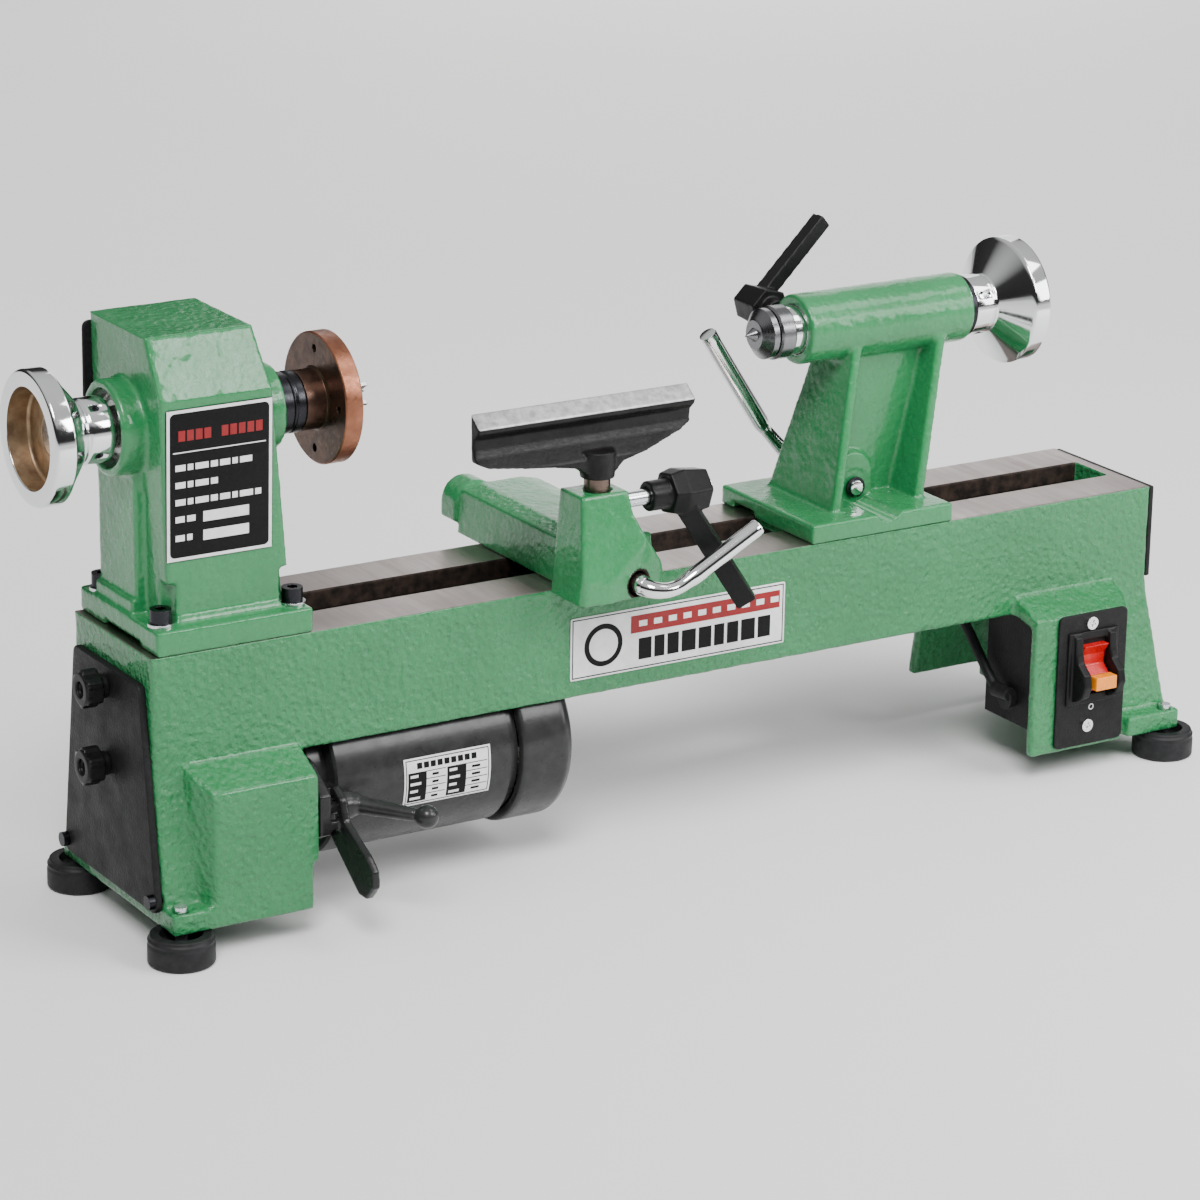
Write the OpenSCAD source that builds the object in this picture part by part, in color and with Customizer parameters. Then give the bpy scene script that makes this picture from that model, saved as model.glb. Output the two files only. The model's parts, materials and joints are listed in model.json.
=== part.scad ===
// Bench wood lathe with a belt-drive headstock, tool rest and sliding tailstock.
// X runs along the bed towards the tailstock, Y to the back, Z up.
// The origin is on the bench, below the middle of the whole outline.

/* [Bed] */
// height of the machined ways above the bench
bed_top = 186; // [185:1:187]
// length of the bed casting
bed_len = 742; // [740:1:744]
// width of the bed across both ways
bed_w = 106.6; // [106:0.2:107.2]
// depth of the bed beam
beam_h = 73.7; // [72:0.1:75]
// width of the slot between the ways
slot_w = 36; // [35.6:0.2:36.4]
// height of the spindle axis above the ways (half the swing)
centre_h = 128; // [127:0.5:129]

/* [Feet] */
// radius of a rubber foot
foot_r = 20.5; // [19:0.5:21]
// height of a rubber foot
foot_h = 19; // [19:1:19]

/* [Headstock] */
// outer radius of the outboard handwheel
hand_r = 40.9; // [39:0.1:42]
// outer radius of the faceplate
plate_r = 40.5; // [39:0.5:42]
// pitch circle of the faceplate screw holes
plate_pcd = 62; // [60:1:64]
// radius of the faceplate screw holes
plate_hole_r = 2.6; // [2.2:0.1:3]

/* [Tailstock] */
// outer radius of the tailstock barrel
barrel_r = 22.9; // [22:0.1:24]
// radius of the sliding quill
quill_r = 16; // [15:0.5:16]
// outer radius of the tailstock handwheel
tail_r = 42; // [41:0.1:43]

/* [Tool rest] */
// length of the tool rest blade
rest_len = 154; // [150:1:156]
// radius of the tool rest post
post_r = 8.2; // [7.8:0.1:8.4]

/* [Motor] */
// radius of the motor body
motor_r = 54; // [52:0.5:54]
// radius of the motor fan cover
cowl_r = 57; // [55:0.5:57]

/* [Hidden] */
$fn = 64;
e = 0.01;
run = 0.05;          // radial clearance of a running fit
gap = 0.3;           // air gap between bodies that slide past each other
hw = bed_w / 2;
lx = -bed_len / 2;   // left end of the bed
rx = bed_len / 2;    // right end of the bed
beam_z = bed_top - beam_h;
axis_z = bed_top + centre_h;
wall = 6;            // bed side wall
way_t = 14;          // thickness of a way
toe = 66;            // half width of a pedestal at its base
hip = 78;            // half width over the pedestal boxes and flanges
foot_x = [-363, 379];
foot_y = 71;

motor_z = 80;
pivot_y = 52;        // axis that the motor plate swings on
knob_z = [106, 155];
pulley_x = -343.5;   // left face of the step pulleys
step_w = 9;
step_r = [33, 29, 25, 21, 17];
belt_step = 2;

rest_x = -58;        // axis of the tool rest's clamp bolt and eccentric
rest_rod_z = bed_top + 8.8;
post_x = -77;
post_y = -71;
boss_top = bed_top + 67;

tail_x = 156;        // axis of the tailstock's clamp bolt
tail_rod_z = bed_top + 20;

// moves the drawing origin, the middle of the bed, so that the part is centred
home = [11.2, 8.5, 0];

// ---- helpers ----

// box from its lowest to its highest corner
module block(a, b) {
    translate(a) cube([b[0] - a[0], b[1] - a[1], b[2] - a[2]]);
}

// cylinder along X, Y or Z between two stations
module rod_x(x0, x1, y, z, r) {
    translate([x0, y, z]) rotate([0, 90, 0]) cylinder(r = r, h = x1 - x0);
}
module rod_y(y0, y1, x, z, r) {
    translate([x, y1, z]) rotate([90, 0, 0]) cylinder(r = r, h = y1 - y0);
}
module rod_z(z0, z1, x, y, r) {
    translate([x, y, z0]) cylinder(r = r, h = z1 - z0);
}

// outline given as (y, z) points, drawn out along X
module along_x(x0, x1, pts) {
    translate([x0, 0, 0]) rotate([90, 0, 90]) linear_extrude(x1 - x0) polygon(pts);
}
// outline given as (x, z) points, drawn out along Y
module along_y(y0, y1, pts) {
    translate([0, y1, 0]) rotate([90, 0, 0]) linear_extrude(y1 - y0) polygon(pts);
}
// outline given as (x, y) points, drawn out along Z
module along_z(z0, z1, pts) {
    translate([0, 0, z0]) linear_extrude(z1 - z0) polygon(pts);
}

// outline given as (radius, x) points, turned about an axis parallel to X
module turned(y, z, pts) {
    translate([0, y, z]) rotate([0, 90, 0]) rotate_extrude($fn = 96) polygon(pts);
}

// straight bar from point a to point b, of radius r or tapering from r to tip
module bar(a, b, r, tip = 0) {
    d = b - a;
    len = norm(d);
    translate(a)
        rotate([0, acos(d[2] / len), atan2(d[1], d[0])])
            cylinder(r1 = r, r2 = tip > 0 ? tip : r, h = len);
}

// ---- bed ----

function flare(z) = hw + (toe - hw) * (beam_z - z) / (beam_z - 33);
function flared(inset, z0, z1) = [
    [-flare(z1) + inset, z1], [flare(z1) - inset, z1],
    [flare(z0) - inset, z0], [-flare(z0) + inset, z0]];

module left_pedestal() {
    difference() {
        union() {
            along_x(lx, -273, flared(0, 19, beam_z + 8));
            // raised box on the front with bevelled edges
            intersection() {
                along_x(-352, -273, [[-50, beam_z + 4], [-hw - 2, beam_z + 4],
                    [-hip, beam_z - 8], [-hip, 19], [-50, 19]]);
                along_z(19, beam_z + 4, [[-352, -50], [-352, -60], [-343, -hip],
                    [-273, -hip], [-273, -50]]);
            }
            // foot flanges
            block([lx, -hip, 19], [-343, -56, 33]);
            block([lx, 56, 19], [-300, hip, 33]);
        }
        // room for the pulleys
        along_x(lx + 8, -281, flared(8, 18, beam_z + 9));
        intersection() {
            along_x(-344, -281, [[-49, beam_z - 6], [-hw, beam_z - 6], [-hip + 7, beam_z - 14],
                [-hip + 7, 18], [-49, 18]]);
            along_z(18, beam_z, [[-344, -49], [-344, -58], [-337, -hip + 7],
                [-281, -hip + 7], [-281, -49]]);
        }
        // window closed by the left cover
        along_x(lx - 1, lx + 9, [[-38, beam_z - 2], [38, beam_z - 2], [54, 41], [-54, 41]]);
        // hole for the motor nose, and notch at the lower right of the box
        rod_x(-282, -272, 0, motor_z, 36);
        block([-277, -79, 18], [-272, -40, 49]);
    }
    // tapped bar behind the left cover
    block([lx, -9, 21], [lx + 9, 9, bed_top - 10]);
    // corner pads over the feet
    for (s = [-1, 1])
        block([lx, s > 0 ? 46 : -hip + 1, 19], [-344, s > 0 ? hip - 1 : -46, 33]);
}

module right_pedestal() {
    difference() {
        union() {
            intersection() {
                along_x(261, 400, flared(0, 19, beam_z + 8));
                along_y(-90, 90, [[261, 19], [384, 19], [384, 31], [372, beam_z + 8],
                    [261, beam_z + 8]]);
            }
            intersection() {
                along_x(261, 343, [[-50, beam_z + 12], [-hw - 2, beam_z + 12],
                    [-hip, beam_z + 2], [-hip, 19], [-50, 19]]);
                along_z(19, beam_z + 12, [[261, -50], [261, -hip], [337, -hip], [345, -60],
                    [345, -50]]);
            }
            block([343, -hip, 19], [387, -50, 33]);
            block([332, 50, 19], [387, hip, 33]);
            block([376, -60, 19], [387, 60, 33]);
        }
        // open towards the motor
        intersection() {
            along_x(260, 400, flared(8, 18, beam_z + 1));
            along_y(-90, 90, [[260, 18], [375, 18], [364, beam_z + 1], [260, beam_z + 1]]);
        }
        intersection() {
            along_x(260, 340, [[-44, beam_z - 1], [-hw, beam_z - 1], [-hip + 7, beam_z - 4.5],
                [-hip + 7, 18], [-44, 18]]);
            along_z(18, beam_z, [[260, -44], [260, -hip + 7], [336, -hip + 7], [339, -60],
                [339, -44]]);
        }
        // switch window and its two screw holes
        block([282, -hip - 1, 53], [338 - 10, -hip + 8, 109]);
        for (z = [36, 108])
            rod_y(-hip - 1, -hip + 8, 305, z, 2.05);
        // raised lower edge at the back
        block([255, 50, 11], [332, 90, 37]);
    }
    for (s = [-1, 1])
        block([344, s > 0 ? 46 : -hip + 1, 19], [387, s > 0 ? hip - 1 : -46, 33]);
}

module bed() {
    translate(home) color([0.42, 0.68, 0.51])
    difference() {
        union() {
            difference() {
                block([lx, -hw, beam_z], [rx, hw, bed_top]);
                // channel below the ways
                block([lx + 8, -hw + wall, beam_z - 1], [rx - 8, hw - wall, bed_top - way_t]);
            }
            // cross ribs kept below the sliding clamp shoes
            for (x = [-20, 110, 240])
                block([x, -hw + 1, beam_z], [x + 8, hw - 1, beam_z + 28]);
            left_pedestal();
            right_pedestal();
        }
        // slot between the ways
        block([-262, -slot_w / 2, beam_z + 30], [rx - 9, slot_w / 2, bed_top + 1]);
        // belt opening under the headstock
        block([-347, -37, bed_top - way_t - 1], [-293, 37, bed_top + 1]);
        // pedestals open into the beam
        block([lx + 9, -hw + wall, beam_z - 9], [-281, hw - wall, beam_z + 9]);
        block([-282, -hw + wall, beam_z - 1], [-272, hw - wall, beam_z + 9]);
        block([260, -hw + wall, beam_z - 9], [rx - 9, hw - wall, beam_z + 9]);
        // upper half of the window closed by the left cover
        for (s = [-1, 1])
            block([lx - 1, s > 0 ? 9 : -38, 90], [lx + 8.5, s > 0 ? 38 : -9, 157]);
        // clearance for the motor
        rod_x(-252, -74, 0, motor_z, cowl_r + 3);
        // tapped holes
        for (x = [-358, -271], y = [-40, 40])
            rod_z(bed_top - way_t - 1, bed_top + 1, x, y, 4.05);
        for (z = knob_z)
            rod_x(lx - 1, lx + 10, 0, z, 3.05);
        for (y = [-60, 60])
            rod_x(lx - 1, lx + 10, y, 37, 2.05);
        for (x = foot_x, y = [-foot_y, foot_y])
            rod_z(18, 40, x, y, 4.3);
        rod_x(-282, -272, pivot_y, motor_z, 5 + run);
        rod_x(-282, -272, -64, 76, 4 + run);
    }
}

module bed_end_plate() {
    translate(home) color([0.08, 0.08, 0.08])
        block([rx, -hw + 1, beam_z + 10], [rx + 4, hw - 1, bed_top - 0.5]);
}

module feet() {
    translate(home) color([0.09, 0.09, 0.1])
    for (x = foot_x, y = [-foot_y, foot_y])
        difference() {
            union() {
                rod_z(0, foot_h - 3, x, y, foot_r);
                rod_z(foot_h - 3 - e, foot_h, x, y, foot_r - 1.2);
            }
            rod_z(-1, 7, x, y, 9);
            rod_z(foot_h - 6, foot_h + 1, x, y, 13);
            rod_z(6, foot_h + 1, x, y, 4.3);
        }
}

module foot_bolts() {
    translate(home) color([0.7, 0.7, 0.7])
    for (x = foot_x, y = [-foot_y, foot_y]) {
        rod_z(2, 7, x, y, 7);
        rod_z(7 - e, foot_h + 16.5, x, y, 4);
    }
}

module left_cover() {
    translate(home) color([0.1, 0.1, 0.1])
    difference() {
        along_x(lx - 5, lx, [[-45, 168], [45, 168], [64, 33], [60, 29], [-60, 29], [-64, 33]]);
        for (z = knob_z)
            rod_x(lx - 6, lx + 1, 0, z, 3.4);
        for (y = [-60, 60])
            rod_x(lx - 6, lx + 1, y, 37, 2.4);
    }
}

module left_cover_screws() {
    translate(home) color([0.12, 0.12, 0.12])
    for (y = [-60, 60]) {
        rod_x(lx - 9, lx - 5, y, 37, 4.5);
        rod_x(lx - 5 - e, lx + 7, y, 37, 2);
    }
}

module star_knob(z) {
    translate(home) color([0.07, 0.07, 0.07]) {
        difference() {
            union() {
                rod_x(lx - 22, lx - 10, 0, z, 10.2);
                for (a = [0 : 60 : 300])
                    rod_x(lx - 21, lx - 11, 9 * sin(a), z + 9 * cos(a), 3.3);
                rod_x(lx - 10 - e, lx - 5.2, 0, z, 7.5);
            }
            rod_x(lx - 23, lx - 19, 0, z, 5);
        }
        rod_x(lx - 6, lx + 9, 0, z, 3);
    }
}
module cover_knob_upper() {
    star_knob(knob_z[1]);
}
module cover_knob_lower() {
    star_knob(knob_z[0]);
}

// ---- headstock ----

module headstock() {
    translate(home) color([0.42, 0.68, 0.51])
    difference() {
        union() {
            block([-366.8, -hw, bed_top], [-263.3, hw, bed_top + 15.4]);
            intersection() {
                along_x(-380, -260, [[-42, bed_top + 15], [-46, bed_top + 152],
                    [-29, bed_top + 187], [46, bed_top + 187], [48, bed_top + 15]]);
                along_y(-60, 60, [[-354, bed_top + 15], [-272.5, bed_top + 15],
                    [-285.5, bed_top + 152], [-290, bed_top + 187], [-360, bed_top + 187],
                    [-359, bed_top + 152]]);
            }
            rod_x(-374, -345, 0, axis_z, 29);
            rod_x(-300, -266, 0, axis_z, 27);
            // foot of the body where it meets the flange
            along_y(-44.5, -40, [[-354, bed_top + 15], [-272.5, bed_top + 15],
                [-273, bed_top + 19], [-353.5, bed_top + 19]]);
        }
        // pulley chamber, open below and through the upper part of the back
        block([-348, -38, bed_top - 1], [-295, 38, axis_z + 22]);
        block([-348, -26, axis_z + 21], [-295, 38, axis_z + 37]);
        block([-345, 30, bed_top + 100], [-298, 60, axis_z + 34]);
        // spindle bearings
        rod_x(-375, -350, 0, axis_z, 23.5 + run);
        rod_x(-351, -340, 0, axis_z, 19);
        rod_x(-292, -265, 0, axis_z, 23.5 + run);
        rod_x(-300, -291, 0, axis_z, 19);
        // shallow recesses on the left wall, either side of the boss rib
        block([-370, -20, bed_top + 24], [-354.6, 8, axis_z - 36]);
        // clamp screw holes
        for (x = [-358, -271], y = [-40, 40])
            rod_z(bed_top - 1, bed_top + 30, x, y, 4.4);
        for (x = [-358, -271], y = [-40, 40])
            rod_z(bed_top + 15.4, bed_top + 40, x, y, 9.2);
        // tapped hole for the rear cover knob
        rod_y(39, 55, -324, axis_z + 44, 3.05);
        // relief under the left end of the flange
        block([-368, -30, bed_top - 1], [-358, 20, bed_top + 3]);
    }
}

module headstock_screws() {
    translate(home) color([0.08, 0.08, 0.08])
    for (x = [-358, -271], y = [-40, 40])
        difference() {
            union() {
                rod_z(bed_top + 17.4, bed_top + 26, x, y, 6.5);
                rod_z(bed_top - 10, bed_top + 18, x, y, 4);
            }
            translate([x, y, bed_top + 21]) cylinder(r = 3.5, h = 6, $fn = 6);
        }
}

module headstock_washers() {
    translate(home) color([0.75, 0.75, 0.75])
    for (x = [-358, -271], y = [-40, 40])
        difference() {
            rod_z(bed_top + 15.4, bed_top + 17.4, x, y, 8);
            rod_z(bed_top + 15, bed_top + 18, x, y, 4.2);
        }
}

// plate that follows the slight lean of the front wall
module nameplate() {
    translate(home) color([0.1, 0.1, 0.1])
    intersection() {
        along_x(-357, -285, [[-43.2, bed_top + 54], [-45.91, bed_top + 147],
            [-46.91, bed_top + 147], [-44.2, bed_top + 54]]);
        block([-355.5, -60, bed_top + 50], [-286, 0, bed_top + 150]);
    }
}

module spindle_bearings() {
    translate(home) color([0.7, 0.7, 0.72])
    for (x = [-366, -280])
        difference() {
            rod_x(x, x + 12, 0, axis_z, 23.5);
            rod_x(x - 1, x + 13, 0, axis_z, 12.5 + run);
            // grooves between the rings on both faces
            for (s = [-1, 11])
                difference() {
                    rod_x(x + s, x + s + 2, 0, axis_z, 20);
                    rod_x(x + s - 1, x + s + 3, 0, axis_z, 16);
                }
        }
}

module rear_cover() {
    translate(home) color([0.1, 0.1, 0.1])
    difference() {
        // plate lying on the leaning back wall
        intersection() {
            along_x(-365, -290, [[47.13, bed_top + 90], [46.01, bed_top + 186],
                [49.01, bed_top + 186], [50.13, bed_top + 90]]);
            block([-364, 0, bed_top + 95], [-291, 80, bed_top + 181]);
        }
        rod_y(40, 56, -324, axis_z + 44, 3.4);
    }
}

module rear_knob() {
    translate(home) color([0.07, 0.07, 0.07]) {
        rod_y(54, 65, -324, axis_z + 44, 8);
        for (a = [0 : 60 : 300])
            rod_y(55, 64, -324 + 7.1 * sin(a), axis_z + 44 + 7.1 * cos(a), 2.7);
        rod_y(49.6, 54 + e, -324, axis_z + 44, 6);
        rod_y(41, 50, -324, axis_z + 44, 3);
    }
}

// ---- spindle ----

module spindle() {
    translate(home) color([0.72, 0.72, 0.74])
    difference() {
        union() {
            rod_x(-407, -248.2, 0, axis_z, 12.5);
            rod_x(-248.2 - e, -226, 0, axis_z, 12.2);
        }
        // knock-out bore and the tapered socket
        rod_x(-408, -280, 0, axis_z, 4.75);
        turned(0, axis_z, [[0, -284], [6.9, -284], [8.9, -225], [0, -225]]);
    }
}

module step_pulley(z, radii) {
    groove = [[0, 0], [0, 1], [4, 2.8], [4, 6.2], [0, 8], [0, 9]];
    turned(0, z, concat([[12.5 + run, pulley_x]],
        [for (i = [0 : 4]) for (p = groove) [radii[i] - p[0], pulley_x + i * step_w + p[1]]],
        [[12.5 + run, pulley_x + 5 * step_w]]));
}

module spindle_pulley() {
    translate(home) color([0.7, 0.71, 0.73])
        step_pulley(axis_z, [step_r[4], step_r[3], step_r[2], step_r[1], step_r[0]]);
}

module spindle_collar() {
    translate(home) color([0.1, 0.1, 0.12])
    difference() {
        union() {
            rod_x(-265.5, -248, 0, axis_z, 19);
            rod_x(-267.6, -265.5 + e, 0, axis_z, 15.5);
        }
        rod_x(-268, -247, 0, axis_z, 12.5 + run);
    }
}

module handwheel() {
    translate(home) color([0.85, 0.86, 0.88])
    difference() {
        turned(0, axis_z, [[12.5 + run, -407], [29, -407], [30.5, -408.5], [30.5, -421.9],
            [hand_r - 1.2, -421.9], [hand_r, -420.7], [hand_r, -409.4], [hand_r - 1, -408.4],
            [19, -391.5], [19, -390.5], [20, -389.5], [20, -374.8], [12.5 + run, -374.8]]);
        // set screw hole in the hub
        translate([0, 0, axis_z]) rotate([35, 0, 0])
            rod_z(11, 30, -384, 0, 2.5);
    }
}

module faceplate() {
    translate(home) color([0.5, 0.36, 0.29])
    difference() {
        turned(0, axis_z, [[12.2 + run, -248], [18.5, -248], [18.5, -235], [20, -234],
            [plate_r - 0.8, -234], [plate_r, -233.2], [plate_r, -222.8], [plate_r - 0.8, -222],
            [12.2 + run, -222]]);
        for (a = [0 : 90 : 270])
            rod_x(-235, -221, plate_pcd / 2 * sin(a), axis_z + plate_pcd / 2 * cos(a), plate_hole_r);
    }
}

module spur_centre() {
    translate(home) color([0.55, 0.55, 0.56]) {
        turned(0, axis_z, [[0, -275], [7.1, -275], [8.75, -226], [8.8, -224], [9.5, -223],
            [9.5, -209], [2.6, -209], [2.4, -205], [0, -199.5]]);
        // four drive teeth
        for (a = [45 : 90 : 315])
            translate([0, 0, axis_z]) rotate([a, 0, 0])
                along_y(-1.2, 1.2, [[-209.5, 3.4], [-204, 3.4], [-201.5, 9.2], [-209.5, 9.2]]);
    }
}

// ---- drive ----

module drive_belt() {
    x0 = pulley_x + belt_step * step_w + 1.4;
    inner = step_r[belt_step] - 4 + 0.4;
    outer = step_r[belt_step] + 1;
    translate(home) color([0.12, 0.12, 0.12])
    difference() {
        union() {
            for (z = [motor_z, axis_z])
                rod_x(x0, x0 + 6.2, 0, z, outer);
            block([x0, -outer + 0.02, motor_z], [x0 + 6.2, outer - 0.02, axis_z]);
        }
        for (z = [motor_z, axis_z])
            rod_x(x0 - 1, x0 + 8, 0, z, inner);
        block([x0 - 1, -inner + 0.02, motor_z], [x0 + 8, inner - 0.02, axis_z]);
        // bevelled flanks that clear the groove walls
        for (z = [motor_z, axis_z], s = [0, 1])
            turned(0, z, s == 0
                ? [[inner - 1, x0 - 1], [inner + 5.2, x0 - 1], [inner + 5.2, x0], [inner - 1, x0 + 2.3]]
                : [[inner - 1, x0 + 7.2], [inner + 5.2, x0 + 7.2], [inner + 5.2, x0 + 6.2],
                    [inner - 1, x0 + 3.9]]);
    }
}

module motor_pivot() {
    translate(home) color([0.6, 0.6, 0.62]) {
        rod_x(-281, -262.7 + e, pivot_y, motor_z, 5);
        rod_x(-262.7, -258, pivot_y, motor_z, 7);
    }
}

// plate that carries the motor, with the belt tension lever on its front edge
module motor_plate() {
    translate(home) color([0.08, 0.08, 0.08])
    difference() {
        union() {
            along_x(-271, -263, [[-74, 63], [-74, 88], [-52, 103], [40, 108], [62, 96],
                [62, 64], [40, 51], [-50, 51]]);
            // lever
            along_x(-257, -252, [[-64 - 9, 84], [-64, 89], [-50, 88], [-47, 71], [-60, 57],
                [-96, 31], [-106, 31], [-115, 41], [-114, 51], [-105, 58], [-78, 71]]);
            block([-263 - e, -74, 65], [-257 + e, -58, 71]);
            block([-263 - e, -62, 83], [-257 + e, -50, 88]);
        }
        rod_x(-272, -262, 0, motor_z, 22);
        rod_x(-272, -262, pivot_y, motor_z, 5 + run);
        // slot swept by the lock stud
        rod_x(-272, -251, -64, 76, 5);
        block([-272, -69, 66.5], [-251, -59, 76]);
        rod_x(-272, -251, -64, 66.5, 5);
    }
}

module motor_body() {
    translate(home) color([0.09, 0.09, 0.09])
    difference() {
        turned(0, motor_z, [[10.1, -263], [42, -263], [44, -261], [44, -250.5], [motor_r - 1.5, -249],
            [motor_r, -247.5], [motor_r, -126], [motor_r - 4, -126], [motor_r - 4, -119],
            [10.1, -119], [10.1, -124], [46, -124], [46, -244], [10.1, -244]]);
        // terminal opening under the barrel
        rod_z(motor_z - 60, motor_z - 45, -160, 0, 4);
    }
}

module motor_cowl() {
    translate(home) color([0.09, 0.09, 0.09])
    difference() {
        turned(0, motor_z, [[motor_r - 3.95, -119], [cowl_r - 1, -119], [cowl_r, -118],
            [cowl_r, -87], [cowl_r - 3, -82], [cowl_r - 10, -78.5], [4, -78.5], [4, -81],
            [cowl_r - 11, -81], [cowl_r - 5.5, -84], [cowl_r - 3, -88], [cowl_r - 3, -116],
            [motor_r - 3.95, -116]]);
        // air slots in the end
        for (a = [0 : 30 : 330])
            translate([0, 0, motor_z]) rotate([a, 0, 0])
                block([-83, -2.5, 14], [-77, 2.5, 36]);
    }
    translate(home) color([0.09, 0.09, 0.09])
        rod_z(motor_z - cowl_r - 5, motor_z - cowl_r + 2, -101, 8, 4.5);
}

module motor_label() {
    translate(home) color([0.75, 0.75, 0.75])
    intersection() {
        difference() {
            rod_x(-202, -141, 0, motor_z, motor_r + 0.8);
            rod_x(-203, -140, 0, motor_z, motor_r);
        }
        block([-203, -70, motor_z - 18], [-140, 0, motor_z + 13]);
    }
}

module motor_shaft() {
    translate(home) color([0.6, 0.6, 0.62]) {
        rod_x(-350, -88, 0, motor_z, 9.5);
        rod_x(-236, -134, 0, motor_z, 40);
        // cooling fan
        rod_x(-100, -92, 0, motor_z, 16);
        for (a = [0 : 45 : 315])
            translate([0, 0, motor_z]) rotate([a, 0, 0])
                block([-104, -1, 10], [-90, 1, 42]);
    }
}

module motor_pulley() {
    translate(home) color([0.7, 0.71, 0.73])
    difference() {
        union() {
            step_pulley(motor_z, step_r);
            rod_x(pulley_x, pulley_x + 45, 0, motor_z, 12.6);
        }
        rod_x(pulley_x - 1, pulley_x + 46, 0, motor_z, 9.5 + run);
    }
}

module motor_lock() {
    translate(home) color([0.08, 0.08, 0.08]) {
        rod_x(-283, -251, -64, 76, 4);
        turned(-64, 76, [[0, -251.8], [8.5, -251.8], [8.5, -247], [6.5, -238], [0, -238]]);
        bar([-243, -64, 76], [-217, -94.6, 74.2], 6, 4.2);
        translate([-212, -100, 73.8]) sphere(r = 7.4);
    }
}

// ---- tool rest ----

module rest_shoe() {
    translate(home) color([0.2, 0.2, 0.2])
    difference() {
        union() {
            block([rest_x - 30, -28, bed_top - way_t - 13], [rest_x + 30, 28, bed_top - way_t - gap]);
            block([rest_x - 30, -17, bed_top - way_t - gap - e], [rest_x + 30, 17, bed_top - way_t + 5]);
        }
        rod_z(bed_top - 40, bed_top, rest_x, 0, 6 + run);
    }
}

module rest_bolt() {
    translate(home) color([0.55, 0.55, 0.57])
    difference() {
        union() {
            rod_z(bed_top - 37, bed_top - 3, rest_x, 0, 6);
            block([rest_x - 8.5, -8, bed_top - 4], [rest_x + 8.5, 8, bed_top + 18]);
            translate([rest_x, 0, bed_top - 36]) cylinder(r = 11, h = 8.8, $fn = 6);
        }
        rod_y(-9, 9, rest_x, rest_rod_z, 7 + run);
    }
}

module banjo() {
    translate(home) color([0.42, 0.68, 0.51])
    difference() {
        union() {
            // post boss with a leaning front and a flared right side
            intersection() {
                along_y(-96, -57, [[-101.5, bed_top + gap], [-34, bed_top + gap],
                    [-34, bed_top + 10], [-38, bed_top + 19], [-46, bed_top + 30],
                    [-54, bed_top + 41], [-60, bed_top + 53], [-62, boss_top],
                    [-95.5, boss_top]]);
                along_z(bed_top, boss_top + 1, [[-102, -56], [-102, -90], [-98, -94], [-80, -95],
                    [-56, -91], [-38, -85], [-34, -81], [-34, -56]]);
                along_x(-110, -30, [[-96, bed_top], [-96, bed_top + 6], [-84, boss_top + 1],
                    [-56, boss_top + 1], [-56, bed_top]]);
            }
            // arm across the bed
            along_y(-60, 80, [[rest_x - 31.5, bed_top + gap], [rest_x + 31.5, bed_top + gap],
                [rest_x + 28.5, bed_top + 29], [rest_x + 15, bed_top + 31.6],
                [rest_x - 15, bed_top + 31.6], [rest_x - 28.5, bed_top + 29]]);
            // rounded end boss
            block([rest_x - 33.5, 79, bed_top + 7.4], [rest_x - 1.5, 98, bed_top + 17.5]);
            rod_y(79, 98, rest_x - 17.5, bed_top + 17.5, 15.98);
        }
        // post bore, eccentric bore, clamp bolt slot and stud hole
        rod_z(bed_top + 14, boss_top + 1, post_x, post_y, post_r + run);
        rod_y(-97, 66, rest_x, rest_rod_z, 8);
        rod_y(60, 78, rest_x, rest_rod_z, 6 + run);
        block([rest_x - 9.5, -38, bed_top - 1], [rest_x + 9.5, 50, bed_top + 22]);
        rod_x(-70, -50, post_y, bed_top + 57, 5 + run);
    }
}

module rest_cam() {
    bend = [[0, -85, 0], [0, -98, -1], [12, -104, -3], [26.5, -105, 1.7], [78, -105, 29]];
    thick = [6.5, 5.4, 4.6, 5.5];
    translate(home) color([0.85, 0.86, 0.88])
    difference() {
        union() {
            rod_y(-88, 64, rest_x, rest_rod_z, 7);
            rod_y(64 - e, 77, rest_x, rest_rod_z, 6);
            for (i = [0 : 3]) {
                a = [rest_x, 0, rest_rod_z] + bend[i];
                b = [rest_x, 0, rest_rod_z] + bend[i + 1];
                d = (b - a) / norm(b - a);
                bar(a - 1.6 * d, b + (i < 3 ? 2.2 : 0) * d, thick[i]);
            }
        }
        // flat that clears the clamp bolt's eye
        block([rest_x - 9, 20, rest_rod_z + 6.4], [rest_x + 9, 40, rest_rod_z + 9]);
    }
}

module rest_post() {
    translate(home) color([0.5, 0.46, 0.43])
        rod_z(bed_top + 22, bed_top + 88, post_x, post_y, post_r);
}

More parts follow.
